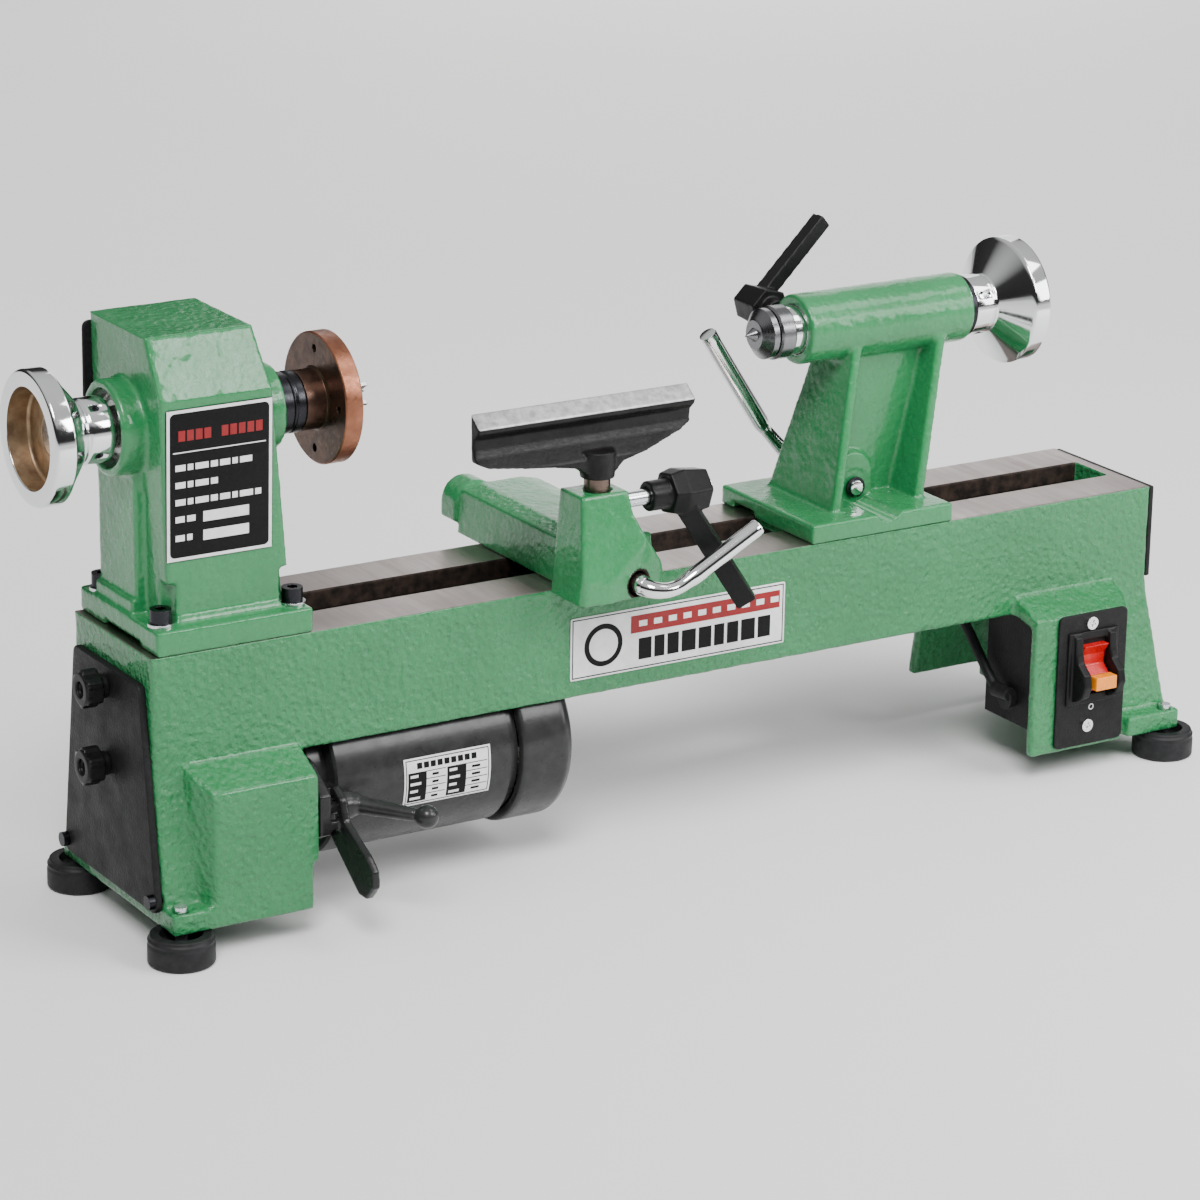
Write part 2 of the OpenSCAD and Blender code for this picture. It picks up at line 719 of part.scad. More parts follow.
module tool_rest() {
    z0 = bed_top + 75;
    xl = -84 - rest_len / 2 + 1;
    xr = xl + rest_len;
    translate(home) color([0.11, 0.1, 0.1])
    difference() {
        union() {
            intersection() {
                // section of the blade: bevelled edge, cove and lower bead
                along_x(xl, xr, [[-60, bed_top + 122.5], [-70, bed_top + 115], [-70, bed_top + 112],
                    [-64.5, bed_top + 107], [-64, bed_top + 101], [-66, bed_top + 96],
                    [-76, bed_top + 88], [-77, bed_top + 78], [-62, bed_top + 78], [-60, bed_top + 100]]);
                // outline seen from the front
                along_y(-90, -50, [[xl, bed_top + 123], [xl, bed_top + 93], [xl + 6, bed_top + 90.5],
                    [xl + 50, bed_top + 86], [post_x - 16, bed_top + 83], [post_x - 10.9, bed_top + 79],
                    [post_x + 10.9, bed_top + 79], [post_x + 16, bed_top + 84],
                    [xr - 8, bed_top + 95], [xr, bed_top + 99], [xr, bed_top + 123]]);
            }
            rod_z(z0, z0 + 17, post_x, post_y, 10.8);
        }
        rod_z(z0 - 1, bed_top + 88 + gap, post_x, post_y, post_r + run);
    }
}

// clamping handle: six-sided hub with a splayed flat-sided lever
module rest_lock() {
    translate(home) color([0.1, 0.1, 0.11])
    difference() {
        union() {
            rod_x(-41, -27, post_y, bed_top + 57, 9.5);
            translate([-27 - e, post_y, bed_top + 57]) rotate([0, 90, 0]) rotate([0, 0, 20])
                cylinder(r1 = 14, r2 = 16.5, h = 9, $fn = 6);
            translate([-18 - 2 * e, post_y, bed_top + 57]) rotate([0, 90, 0]) rotate([0, 0, 20])
                cylinder(r1 = 16.5, r2 = 14, h = 18, $fn = 6);
            translate([-17, post_y - 3, bed_top + 52]) rotate([0, 147.7, -30.7])
                block([-6.5, -5.5, 0], [6.5, 5.5, 78]);
        }
        rod_x(-42, 1, post_y, bed_top + 57, 5 + run);
    }
}

module rest_lock_stud() {
    translate(home) color([0.75, 0.78, 0.8]) {
        rod_x(-68.5, -3, post_y, bed_top + 57, 5);
        rod_x(0.2 + gap, 3.6, post_y, bed_top + 57, 6.5);
        rod_x(-3 - e, 0.2 + gap + e, post_y, bed_top + 57, 4);
    }
}

// ---- tailstock ----

module tailstock() {
    translate(home) color([0.42, 0.68, 0.51])
    difference() {
        union() {
            block([96.3, -54, bed_top + e], [206.1, 54, bed_top + 12.7]);
            block([100, -slot_w / 2 + gap, bed_top - 6], [202, slot_w / 2 - gap, bed_top + 1]);
            rod_x(113, 241.5, 0, axis_z, barrel_r);
            // left and right walls of the column, both leaning right
            intersection() {
                along_y(-40, 40, [[122, bed_top + 12], [129, bed_top + 12], [154.5, axis_z - 10],
                    [147.5, axis_z - 10]]);
                along_x(100, 240, [[-38, bed_top + 12], [38, bed_top + 12], [20, axis_z - 10],
                    [-20, axis_z - 10]]);
            }
            intersection() {
                along_y(-40, 40, [[188.5, bed_top + 12], [196, bed_top + 12], [221, axis_z - 10],
                    [214, axis_z - 10]]);
                along_x(100, 240, [[-36, bed_top + 12], [36, bed_top + 12], [20, axis_z - 10],
                    [-20, axis_z - 10]]);
            }
            // web between them and the boss round the eccentric
            along_y(-6, 6, [[126, bed_top + 12], [191, bed_top + 12], [217, axis_z - 10],
                [151, axis_z - 10]]);
            rod_y(-13, 13, tail_x - 1, tail_rod_z + 8, 15.5);
            block([tail_x - 16.4, -13, bed_top + 12], [tail_x + 14.4, 13, tail_rod_z + 8]);
            rod_y(12, 48, tail_x, tail_rod_z, 11);
        }
        rod_x(112, 232, 0, axis_z, quill_r + run);
        rod_x(231, 242, 0, axis_z, 7.2);
        rod_y(-14, 49, tail_x, tail_rod_z, 5 + run);
        block([tail_x - 9, -8.5, bed_top - 7], [tail_x + 9, 8.5, bed_top + 33]);
        // tapped hole for the quill lock
        rod_y(14, 26, 118, axis_z + 5, 4 + run);
        // relief under the left end of the base
        block([95, 15, bed_top - 1], [104, 40, bed_top + 4]);
    }
}

module tail_shoe() {
    translate(home) color([0.2, 0.2, 0.2])
    difference() {
        union() {
            block([tail_x - 30, -28, bed_top - way_t - 13], [tail_x + 30, 28, bed_top - way_t - gap]);
            block([tail_x - 30, -17, bed_top - way_t - gap - e], [tail_x + 30, 17, bed_top - way_t + 5]);
        }
        rod_z(bed_top - 40, bed_top, tail_x, 0, 6 + run);
    }
}

module tail_bolt() {
    translate(home) color([0.55, 0.55, 0.57])
    difference() {
        union() {
            rod_z(bed_top - 37, bed_top + 8, tail_x, 0, 6);
            block([tail_x - 7.5, -7.5, bed_top + 7], [tail_x + 7.5, 7.5, bed_top + 29]);
            translate([tail_x, 0, bed_top - 36]) cylinder(r = 11, h = 8.8, $fn = 6);
        }
        rod_y(-9, 9, tail_x, tail_rod_z, 5 + run);
    }
}

module tail_cam() {
    z = tail_rod_z;
    translate(home) color([0.85, 0.86, 0.88])
    difference() {
        union() {
            rod_y(-17, 60, tail_x, z, 5);
            translate([tail_x, 60, z]) sphere(r = 5.05);
            bar([tail_x, 60, z], [tail_x - 4, 68, z + 7], 4.8);
            translate([tail_x - 4, 68, z + 7]) sphere(r = 5);
            bar([tail_x - 4, 68, z + 7], [tail_x - 17, 70, z + 22], 4.4);
            bar([tail_x - 16.4, 70, z + 21.3], [tail_x - 63, 70, z + 92], 6);
        }
        // groove for the retaining clip
        difference() {
            rod_y(-15.2, -14, tail_x, z, 6);
            rod_y(-16, -13, tail_x, z, 4.2);
        }
    }
}

module cam_clip() {
    translate(home) color([0.06, 0.06, 0.06])
    difference() {
        rod_y(-15.1, -14.1, tail_x, tail_rod_z, 7);
        rod_y(-16, -13, tail_x, tail_rod_z, 4.2 + run);
        block([tail_x - 1.5, -16, tail_rod_z - 10], [tail_x + 1.5, -13, tail_rod_z]);
    }
}

module quill() {
    translate(home) color([0.8, 0.81, 0.83])
    difference() {
        rod_x(105.5, 224, 0, axis_z, quill_r);
        turned(0, axis_z, [[0, 104.5], [9.05, 104.5], [7.2, 164.5], [0, 164.5]]);
        rod_x(160, 225, 0, axis_z, 6 + run);
    }
}

module feed_screw() {
    translate(home) color([0.6, 0.6, 0.62]) {
        rod_x(168, 275, 0, axis_z, 6);
        rod_x(226, 230.5, 0, axis_z, 13);
    }
}

module tail_wheel() {
    translate(home) color([0.85, 0.86, 0.88])
    difference() {
        turned(0, axis_z, [[6 + run, 245.5], [20, 245.5], [20, 259.5], [19, 260.5], [19, 262],
            [tail_r - 1, 276], [tail_r, 277], [tail_r, 288.1], [tail_r - 1.2, 289.3],
            [31.5, 289.3], [31.5, 276], [30, 274.5], [6 + run, 274.5]]);
        // tommy hole in the hub
        translate([0, 0, axis_z]) rotate([60, 0, 0])
            rod_z(7, 30, 253, 0, 2.5);
    }
}

module screw_retainer() {
    translate(home) color([0.07, 0.07, 0.07])
    difference() {
        rod_x(241.5, 245.1, 0, axis_z, 20.5);
        rod_x(241, 246, 0, axis_z, 6 + run);
    }
}

module live_body() {
    translate(home) color([0.2, 0.2, 0.21])
    difference() {
        turned(0, axis_z, [[0, 93.8], [16.2, 93.8], [17.5, 95], [17.5, 104], [16.5, 105.2],
            [9, 105.2], [7.35, 156.5], [0, 156.5]]);
        rod_x(93.5, 102.5, 0, axis_z, 6 + run);
    }
}

module live_nose() {
    translate(home) color([0.22, 0.22, 0.23]) {
        turned(0, axis_z, [[0, 75.9], [4.6, 83], [9.5, 83], [10.5, 83.7], [16.4, 88.5],
            [16.4, 92.4], [15.5, 93.5], [0, 93.5]]);
        rod_x(93.4, 102, 0, axis_z, 6);
    }
}

module quill_lock() {
    z = axis_z + 5;
    translate(home) color([0.09, 0.09, 0.1]) {
        rod_y(16.6, 33, 118, z, 4);
        rod_y(25.5, 34, 118, z, 8);
        translate([118, 60, z]) rotate([90, 15, 0]) cylinder(r1 = 12.5, r2 = 14.5, h = 26.5, $fn = 6);
        translate([119.5, 50, z + 3]) rotate([0, 48, 6])
            block([-5, -5, 0], [5, 5, 70]);
    }
}

// ---- switch ----

module switch_box() {
    translate(home) color([0.1, 0.1, 0.1])
    difference() {
        block([273, -hip + 7 + gap, 31], [335, -10, 107]);
        block([275, -hip + 6.9, 33], [333, -12, 105]);
        rod_x(272, 276, -40, 49, 5);
    }
}

module switch_plate() {
    translate(home) color([0.09, 0.09, 0.09])
    difference() {
        block([279, -hip - 2.2, 22], [337.6 - 2, -hip, 115]);
        block([289, -hip - 3, 55], [324, -hip + 1, 103]);
        for (z = [36, 108])
            rod_y(-hip - 3, -hip + 1, 305, z, 2.4);
    }
}

module plate_screws() {
    translate(home) color([0.85, 0.86, 0.88])
    for (z = [36, 108])
        difference() {
            union() {
                rod_y(-hip - 4, -hip - 2.2, 305, z, 4.4);
                rod_y(-hip - 2.3, -hip + 7, 305, z, 2);
            }
            for (a = [0, 90])
                translate([305, -hip - 4.1, z]) rotate([0, a + 20, 0])
                    cube([5, 1.6, 1], center = true);
        }
}

// raised guard round the paddle
module switch_guard() {
    translate(home) color([0.07, 0.07, 0.07])
    difference() {
        union() {
            block([286, -hip - 4.4, 52], [327, -hip - 2.2, 103]);
            block([289.2, -hip - 2.3, 55.2], [323.8, -50, 102]);
            // side wings stand out round the lower end of the paddle
            for (x = [289.5, 317.5])
                along_x(x, x + 6, [[-hip - 4, 102], [-hip - 7, 100], [-hip - 8, 89], [-hip - 10, 83],
                    [-hip - 17, 77], [-hip - 19, 69], [-hip - 16, 61], [-hip - 8, 56], [-hip - 4, 55]]);
        }
        block([295.5, -hip - 21, 59], [317.5, -54, 97]);
    }
}

module switch_paddle() {
    translate(home) color([0.75, 0.1, 0.1])
    difference() {
        union() {
            along_x(296.5, 316.5, [[-hip + 8, 94], [-hip - 8, 93.5], [-hip - 4, 87], [-hip - 3, 79],
                [-hip - 10, 73], [-hip - 12, 64], [-hip + 8, 64]]);
            rod_x(296.5, 316.5, -hip + 10, 79, 6);
        }
        block([300, -hip - 20, 67], [313, -hip, 73.5]);
    }
}

module switch_key() {
    translate(home) color([0.92, 0.66, 0.12]) {
        block([300.3, -hip - 11, 67.3], [312.7, -hip - 1, 73.2]);
        block([298, -hip - 20, 66], [315, -hip - 12.2, 75]);
        block([300.3, -hip - 12.3, 67.3], [312.7, -hip - 10.9, 73.2]);
    }
}

// lead from the motor to the switch box, clipped under the bed
module motor_lead() {
    path = [[-75, 38, 98], [-50, 30, 103], [-10, 24, 107], [250, 24, 107],
        [260, 18, 102], [265, 4, 88], [266.5, -14, 67], [266.5, -30, 53]];
    translate(home) color([0.06, 0.06, 0.06]) {
        rod_x(-78.3, -71, 38, 98, 6);
        for (i = [0 : len(path) - 2]) {
            d = (path[i + 1] - path[i]) / norm(path[i + 1] - path[i]);
            bar(path[i] - 1.2 * d, path[i + 1] + 1.2 * d, 3.6 - 0.02 * i);
        }
        rod_y(-47, -28, 266.5, 53, 5.4);
        rod_x(266, 272.8, -40, 49, 7.5);
        rod_x(272.7, 279, -40, 49, 4.9);
    }
}

module lead_clip() {
    translate(home) color([0.6, 0.6, 0.6])
    difference() {
        union() {
            block([240, 8, 102], [248, 30.5, beam_z]);
            block([239, -8, beam_z - 2], [249, 8 + e, beam_z]);
            rod_z(beam_z - 4.5, beam_z - 2 + e, 244, 0, 4);
        }
        block([239, 9.5, 103.2], [249, 29, beam_z - 1.2]);
    }
}

module bed_badge() {
    translate(home) color([0.9, 0.9, 0.9])
        block([-84, -hw - 1, 124], [76, -hw, 165]);
}

bed();
bed_end_plate();
feet();
foot_bolts();
left_cover();
left_cover_screws();
cover_knob_upper();
cover_knob_lower();
headstock();
headstock_screws();
headstock_washers();
nameplate();
spindle_bearings();
rear_cover();
rear_knob();
spindle();
spindle_pulley();
spindle_collar();
handwheel();
faceplate();
spur_centre();
drive_belt();
motor_pivot();
motor_plate();
motor_body();
motor_cowl();
motor_label();
motor_shaft();
motor_pulley();
motor_lock();
rest_shoe();
rest_bolt();
banjo();
rest_cam();
rest_post();
tool_rest();
rest_lock();
rest_lock_stud();
tailstock();
tail_shoe();
tail_bolt();
tail_cam();
cam_clip();
quill();
feed_screw();
tail_wheel();
screw_retainer();
live_body();
live_nose();
quill_lock();
switch_box();
switch_plate();
plate_screws();
switch_guard();
switch_paddle();
switch_key();
motor_lead();
lead_clip();
bed_badge();
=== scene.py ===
import json
import math

import bmesh
import bpy
import numpy as np
from mathutils import Matrix, Vector, noise


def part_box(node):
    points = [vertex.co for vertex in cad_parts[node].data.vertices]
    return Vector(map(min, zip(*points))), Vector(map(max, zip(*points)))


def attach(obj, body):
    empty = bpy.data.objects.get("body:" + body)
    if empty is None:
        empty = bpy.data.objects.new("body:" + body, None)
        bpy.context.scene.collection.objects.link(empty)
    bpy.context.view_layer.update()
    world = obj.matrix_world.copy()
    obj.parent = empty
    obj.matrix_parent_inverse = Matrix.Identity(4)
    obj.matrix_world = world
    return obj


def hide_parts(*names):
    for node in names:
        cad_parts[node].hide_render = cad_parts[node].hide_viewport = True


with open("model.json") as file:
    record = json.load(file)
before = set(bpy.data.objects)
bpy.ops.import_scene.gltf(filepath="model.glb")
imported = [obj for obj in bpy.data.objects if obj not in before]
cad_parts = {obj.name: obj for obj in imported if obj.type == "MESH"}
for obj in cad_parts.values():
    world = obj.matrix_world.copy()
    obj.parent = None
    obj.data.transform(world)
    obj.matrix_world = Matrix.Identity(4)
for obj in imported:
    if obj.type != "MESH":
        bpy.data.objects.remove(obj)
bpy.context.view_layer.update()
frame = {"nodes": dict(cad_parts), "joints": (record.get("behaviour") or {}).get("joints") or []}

# Lengths below are millimetres from the middle of the bed; HOME is where that point sits in the shared frame.
MM = 0.001
nodes = frame["nodes"]
joints = {j["name"]: j for j in frame["joints"]}
BED_LEN = 742
BARREL_R = 54.15
HOME = Vector((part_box("bed")[0][0] / MM + BED_LEN / 2, joints["spindle_spin"]["pos_m"][1] / MM, 0))


def joint_at(name):
    return Vector(joints[name]["pos_m"]) / MM - HOME


def corners(node):
    lo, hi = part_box(node)
    return Vector(lo) / MM - HOME, Vector(hi) / MM - HOME


TOP = corners("bed")[1].z
AXIS = joint_at("spindle_spin").z
MOTOR = joint_at("motor_swing").z
HALF_W = -corners("bed_badge")[1].y


def srgb(r, g, b):
    def lin(c):
        c /= 255
        return c / 12.92 if c <= 0.04045 else ((c + 0.055) / 1.055) ** 2.4
    return lin(r), lin(g), lin(b)


# ---- camera ----

def make_camera():
    az, el, roll = math.radians(-31.8), math.radians(18.06), math.radians(-0.88)
    back = Vector((math.sin(az) * math.cos(el), -math.cos(az) * math.cos(el), math.sin(el)))
    right = Vector((math.cos(az), math.sin(az), 0))
    up = back.cross(right)
    turn = Matrix.Rotation(roll, 3, "Z")
    rows = turn @ Matrix((right, up, back))
    look = HOME + Vector((-29, 0, TOP))
    at = look - rows.transposed() @ Vector((1.0, 30.71, -2732.9))
    data = bpy.data.cameras.new("camera")
    data.sensor_width = 36
    data.lens = 129.15
    data.clip_start, data.clip_end = 0.05, 30
    cam = bpy.data.objects.new("camera", data)
    bpy.context.scene.collection.objects.link(cam)
    cam.matrix_world = Matrix.Translation(at * MM) @ rows.transposed().to_4x4()
    bpy.context.scene.camera = cam


make_camera()


# ---- shading ----

class Paint:
    """One node material, built step by step."""

    def __init__(self, name, base=(0.5, 0.5, 0.5), rough=0.5, metal=0.0, coat=0.0, coat_rough=0.1,
                 spec=0.5, round_mm=0.0):
        self.m = bpy.data.materials.new(name)
        self.m.use_nodes = True
        self.t = self.m.node_tree
        self.b = self.t.nodes["Principled BSDF"]
        self.set("Base Color", (*base, 1))
        self.set("Roughness", rough)
        self.set("Metallic", metal)
        self.set("Coat Weight", coat)
        self.set("Coat Roughness", coat_rough)
        self.set("Specular IOR Level", spec)
        self.where = self.node("ShaderNodeTexCoord").outputs["Object"]
        self.normal = None
        if round_mm:
            n = self.node("ShaderNodeBevel")
            n.samples = 6
            n.inputs["Radius"].default_value = round_mm * MM
            self.normal = n.outputs[0]
            self.link(self.normal, self.b.inputs["Normal"])

    def set(self, socket, value):
        self.b.inputs[socket].default_value = value

    def node(self, kind, **props):
        n = self.t.nodes.new(kind)
        for k, v in props.items():
            setattr(n, k, v)
        return n

    def link(self, a, b):
        self.t.links.new(a, b)

    def stretched(self, x, y, z):
        n = self.node("ShaderNodeMapping")
        n.inputs["Scale"].default_value = (x, y, z)
        self.link(self.where, n.inputs["Vector"])
        return n.outputs[0]

    def noise(self, scale, detail=3, rough=0.55, at=None):
        n = self.node("ShaderNodeTexNoise")
        n.inputs["Scale"].default_value = scale
        n.inputs["Detail"].default_value = detail
        n.inputs["Roughness"].default_value = rough
        self.link(at or self.where, n.inputs["Vector"])
        return n.outputs["Fac"]

    def cells(self, scale, smooth=0.6):
        n = self.node("ShaderNodeTexVoronoi", feature="SMOOTH_F1")
        n.inputs["Scale"].default_value = scale
        n.inputs["Smoothness"].default_value = smooth
        self.link(self.where, n.inputs["Vector"])
        return n.outputs["Distance"]

    def calc(self, op, a, b=0.0):
        n = self.node("ShaderNodeMath", operation=op)
        for k, v in enumerate((a, b)):
            if isinstance(v, (int, float)):
                n.inputs[k].default_value = v
            else:
                self.link(v, n.inputs[k])
        return n.outputs[0]

    def span(self, fac, lo, hi, to_lo=0.0, to_hi=1.0):
        n = self.node("ShaderNodeMapRange")
        self.link(fac, n.inputs["Value"])
        for k, v in zip(("From Min", "From Max", "To Min", "To Max"), (lo, hi, to_lo, to_hi)):
            n.inputs[k].default_value = v
        return n.outputs[0]

    def blend(self, fac, a, b):
        n = self.node("ShaderNodeMix", data_type="RGBA")
        self.link(fac, n.inputs["Factor"])
        for k, v in (("A", a), ("B", b)):
            socket = [i for i in n.inputs if i.name == k and i.type == "RGBA"][0]
            if isinstance(v, tuple):
                socket.default_value = (*v, 1)
            else:
                self.link(v, socket)
        return [o for o in n.outputs if o.type == "RGBA"][0]

    def axis(self, k):
        n = self.node("ShaderNodeSeparateXYZ")
        self.link(self.where, n.inputs[0])
        return n.outputs[k]

    def bump(self, height, depth_mm, strength=1.0):
        n = self.node("ShaderNodeBump")
        n.inputs["Strength"].default_value = strength
        n.inputs["Distance"].default_value = depth_mm * MM
        self.link(height, n.inputs["Height"])
        if self.normal is not None:
            self.link(self.normal, n.inputs["Normal"])
        self.normal = n.outputs[0]
        self.link(self.normal, self.b.inputs["Normal"])

    def colour(self, socket):
        self.link(socket, self.b.inputs["Base Color"])

    def roughness(self, socket):
        self.link(socket, self.b.inputs["Roughness"])


def enamel(name, light, dark, grain=1.0):
    p = Paint(name, rough=0.26, coat=0.45, coat_rough=0.06, spec=0.35)
    patch = p.noise(9, 3)
    fleck = p.noise(420, 2)
    tone = p.calc("ADD", p.calc("MULTIPLY", patch, 0.7), p.calc("MULTIPLY", fleck, 0.3))
    p.colour(p.blend(p.span(tone, 0.38, 0.62), dark, light))
    p.roughness(p.span(p.noise(60, 3), 0.3, 0.7, 0.2, 0.36))
    p.bump(p.cells(230), 1.5 * grain, 0.9)
    p.bump(p.noise(300, 3), 1.6 * grain, 0.85)
    p.bump(p.noise(1200, 2), 0.14 * grain, 0.5)
    return p.m


def dark_paint(name, tone=0.02, rough=0.35, scale=900, depth=0.15, coat=0.0, round_mm=0.6, spec=0.18):
    p = Paint(name, rough=rough, coat=coat, coat_rough=0.2, round_mm=round_mm, spec=spec)
    fac = p.noise(scale * 0.35, 3)
    p.colour(p.blend(p.span(fac, 0.3, 0.7), (tone * 0.75,) * 3, (tone * 1.25, tone * 1.25, tone * 1.3)))
    p.roughness(p.span(p.noise(70, 2), 0.3, 0.7, rough - 0.07, rough + 0.1))
    p.bump(p.noise(scale, 3), depth, 0.8)
    return p.m


def metal(name, base, rough, streak=(1, 1, 1), scale=800, depth=0.02, vary=0.12):
    p = Paint(name, base, rough, metal=1.0, round_mm=0.4)
    line = p.noise(scale, 3, at=p.stretched(*streak))
    cloud = p.noise(25, 3)
    other = tuple(c * (1 - vary) for c in base)
    p.colour(p.blend(p.span(cloud, 0.35, 0.65), base, other))
    p.roughness(p.span(line, 0.25, 0.75, max(0.02, rough * 0.75), rough * 1.3))
    p.bump(line, depth, 0.6)
    return p.m


GREEN = enamel("green_enamel", srgb(44, 126, 75), srgb(36, 114, 65))
GREEN_FINE = enamel("green_enamel_fine", srgb(46, 130, 78), srgb(38, 118, 68), 0.3)
BLACK = dark_paint("black_paint", 0.012, 0.24, 500, 0.05, 0.3)
BLACK_ROUGH = dark_paint("black_crinkle", 0.01, 0.46, 700, 0.5)
MOTOR_BLACK = dark_paint("motor_enamel", 0.022, 0.3, 420, 0.12, 0.3)
PLASTIC = dark_paint("black_plastic", 0.007, 0.34, 1400, 0.08)
OXIDE = metal("black_oxide", (0.035, 0.035, 0.04), 0.3)
CHROME = metal("chrome", (0.86, 0.87, 0.88), 0.085, scale=500, depth=0.006, vary=0.06)
ZINC = metal("zinc", (0.72, 0.74, 0.76), 0.22)
STEEL = metal("turned_steel", (0.56, 0.55, 0.54), 0.24, streak=(3, 0.3, 0.3), depth=0.02)
DARK_STEEL = metal("dark_steel", (0.22, 0.22, 0.23), 0.24, streak=(4, 0.3, 0.3), depth=0.02)
BROWN_STEEL = metal("browned_steel", srgb(110, 94, 86), 0.3, streak=(0.4, 0.4, 4), depth=0.03)
ALLOY = metal("pulley_alloy", (0.68, 0.69, 0.70), 0.3)


def plastic(name, base, rough=0.28, coat=0.4):
    p = Paint(name, base, rough, coat=coat, coat_rough=0.15, round_mm=0.3)
    p.colour(p.blend(p.span(p.noise(120, 2), 0.3, 0.7), base, tuple(c * 0.85 for c in base)))
    p.roughness(p.span(p.noise(300, 2), 0.3, 0.7, rough * 0.8, rough * 1.25))
    p.bump(p.noise(1600, 2), 0.03, 0.5)
    return p.m


RED = plastic("red_plastic", srgb(196, 6, 14))
YELLOW = plastic("yellow_plastic", srgb(248, 142, 8))
WHITE_INK = plastic("white_ink", srgb(236, 236, 236), 0.4, 0.2)
RED_INK = plastic("red_ink", srgb(140, 0, 8), 0.45, 0.0)
BLACK_INK = dark_paint("black_ink", 0.006, 0.4, 1500, 0.02, round_mm=0.0, spec=0.12)


def ground_steel():
    p = Paint("ground_ways", rough=0.34, metal=1.0)
    across = p.noise(1.0, 4, at=p.stretched(2600, 45, 45))
    broad = p.noise(1.0, 3, at=p.stretched(160, 10, 10))
    stain = p.noise(14, 4)
    base = p.blend(p.span(stain, 0.35, 0.7), srgb(190, 180, 176), srgb(156, 144, 140))
    p.colour(p.blend(p.span(across, 0.3, 0.7, 0.0, 0.6), base, srgb(140, 128, 126)))
    p.roughness(p.span(broad, 0.3, 0.7, 0.28, 0.42))
    p.bump(across, 0.03, 0.6)
    return p.m


# Dark brown for raw metal edges, made darker as painted shade: the bed's slot walls, and the painted shadow
# inside the banjo's cross bore.
def raw_edge_and_shade_paint():
    p = Paint("raw_edge_and_painted_shade", rough=0.6, metal=0.2, spec=0.2)
    p.colour(p.blend(p.span(p.noise(160, 4), 0.35, 0.65), srgb(26, 22, 20), srgb(58, 46, 40)))
    p.bump(p.noise(700, 4), 0.2, 0.8)
    return p.m


def rough_cast():
    p = Paint("black_cast_iron", rough=0.42, spec=0.25)
    p.colour(p.blend(p.span(p.noise(90, 4), 0.35, 0.65), srgb(10, 9, 10), srgb(24, 22, 23)))
    p.roughness(p.span(p.noise(500, 3), 0.3, 0.7, 0.32, 0.52))
    p.bump(p.noise(420, 4), 0.3, 0.8)
    p.bump(p.noise(1500, 3), 0.12, 0.7)
    return p.m


def rubber():
    p = Paint("foot_rubber", rough=0.55, spec=0.3, round_mm=0.8)
    p.colour(p.blend(p.span(p.noise(200, 3), 0.3, 0.7), srgb(16, 16, 18), srgb(32, 32, 34)))
    p.bump(p.noise(1100, 3), 0.12, 0.8)
    return p.m


def bronzed():
    p = Paint("bronzed_face", rough=0.34, metal=0.9, round_mm=0.5)
    out = p.node("ShaderNodeVectorMath", operation="DISTANCE")
    middle = HOME + Vector((0, 0, AXIS))
    flat = p.node("ShaderNodeCombineXYZ")
    for k in (1, 2):
        p.link(p.axis(k), flat.inputs[k])
    p.link(flat.outputs[0], out.inputs[0])
    out.inputs[1].default_value = (0, middle.y * MM, middle.z * MM)
    rim = p.calc("GREATER_THAN", out.outputs["Value"], (corners("faceplate")[1].z - AXIS - 0.9) * MM)
    cloud = p.noise(70, 4)
    face = p.blend(p.span(cloud, 0.35, 0.65), srgb(70, 52, 45), srgb(98, 74, 62))
    edge = p.blend(p.span(cloud, 0.35, 0.65), srgb(158, 104, 80), srgb(128, 82, 62))
    p.colour(p.blend(rim, face, edge))
    p.roughness(p.span(p.noise(300, 3), 0.3, 0.7, 0.26, 0.46))
    p.bump(p.noise(900, 3), 0.04, 0.7)
    return p.m


def cup_brown():
    p = Paint("bare_cup", rough=0.42, metal=0.85)
    p.colour(p.blend(p.span(p.noise(90, 4), 0.35, 0.65), srgb(128, 106, 84), srgb(176, 152, 122)))
    p.bump(p.noise(600, 3), 0.1, 0.8)
    return p.m


WAYS = ground_steel()
RAW_EDGE_AND_SHADE = raw_edge_and_shade_paint()
CAST = rough_cast()
RUBBER = rubber()
BRONZE = bronzed()
CUP = cup_brown()


# ---- meshes ----

def finish_piece(name, bm, body, mats, stands_for=(), sharp=35):
    """Turns a millimetre bmesh into a piece riding on a body."""
    bmesh.ops.translate(bm, vec=HOME, verts=bm.verts)
    bmesh.ops.scale(bm, vec=(MM, MM, MM), verts=bm.verts)
    mesh = bpy.data.meshes.new(name)
    bm.to_mesh(mesh)
    bm.free()
    return finish_mesh(name, mesh, body, mats, stands_for, sharp)


def finish_mesh(name, mesh, body, mats, stands_for=(), sharp=35):
    mesh.polygons.foreach_set("use_smooth", [True] * len(mesh.polygons))
    if sharp:
        mesh.set_sharp_from_angle(angle=math.radians(sharp))
    o = bpy.data.objects.new(name, mesh)
    bpy.context.scene.collection.objects.link(o)
    for m in mats if isinstance(mats, (list, tuple)) else [mats]:
        mesh.materials.append(m)
    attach(o, body)
    if stands_for:
        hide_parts(*stands_for)
    return o


def add_box(bm, lo, hi, round_mm=0.0):
    made = bmesh.ops.create_cube(bm, size=1.0)["verts"]
    lo, hi = Vector(lo), Vector(hi)
    for v in made:
        v.co = Vector(((v.co[k] + 0.5) * (hi[k] - lo[k]) + lo[k]) for k in range(3))
    if round_mm:
        edges = list({e for v in made for e in v.link_edges})
        bmesh.ops.bevel(bm, geom=edges, offset=round_mm, segments=3, profile=0.5, affect="EDGES")


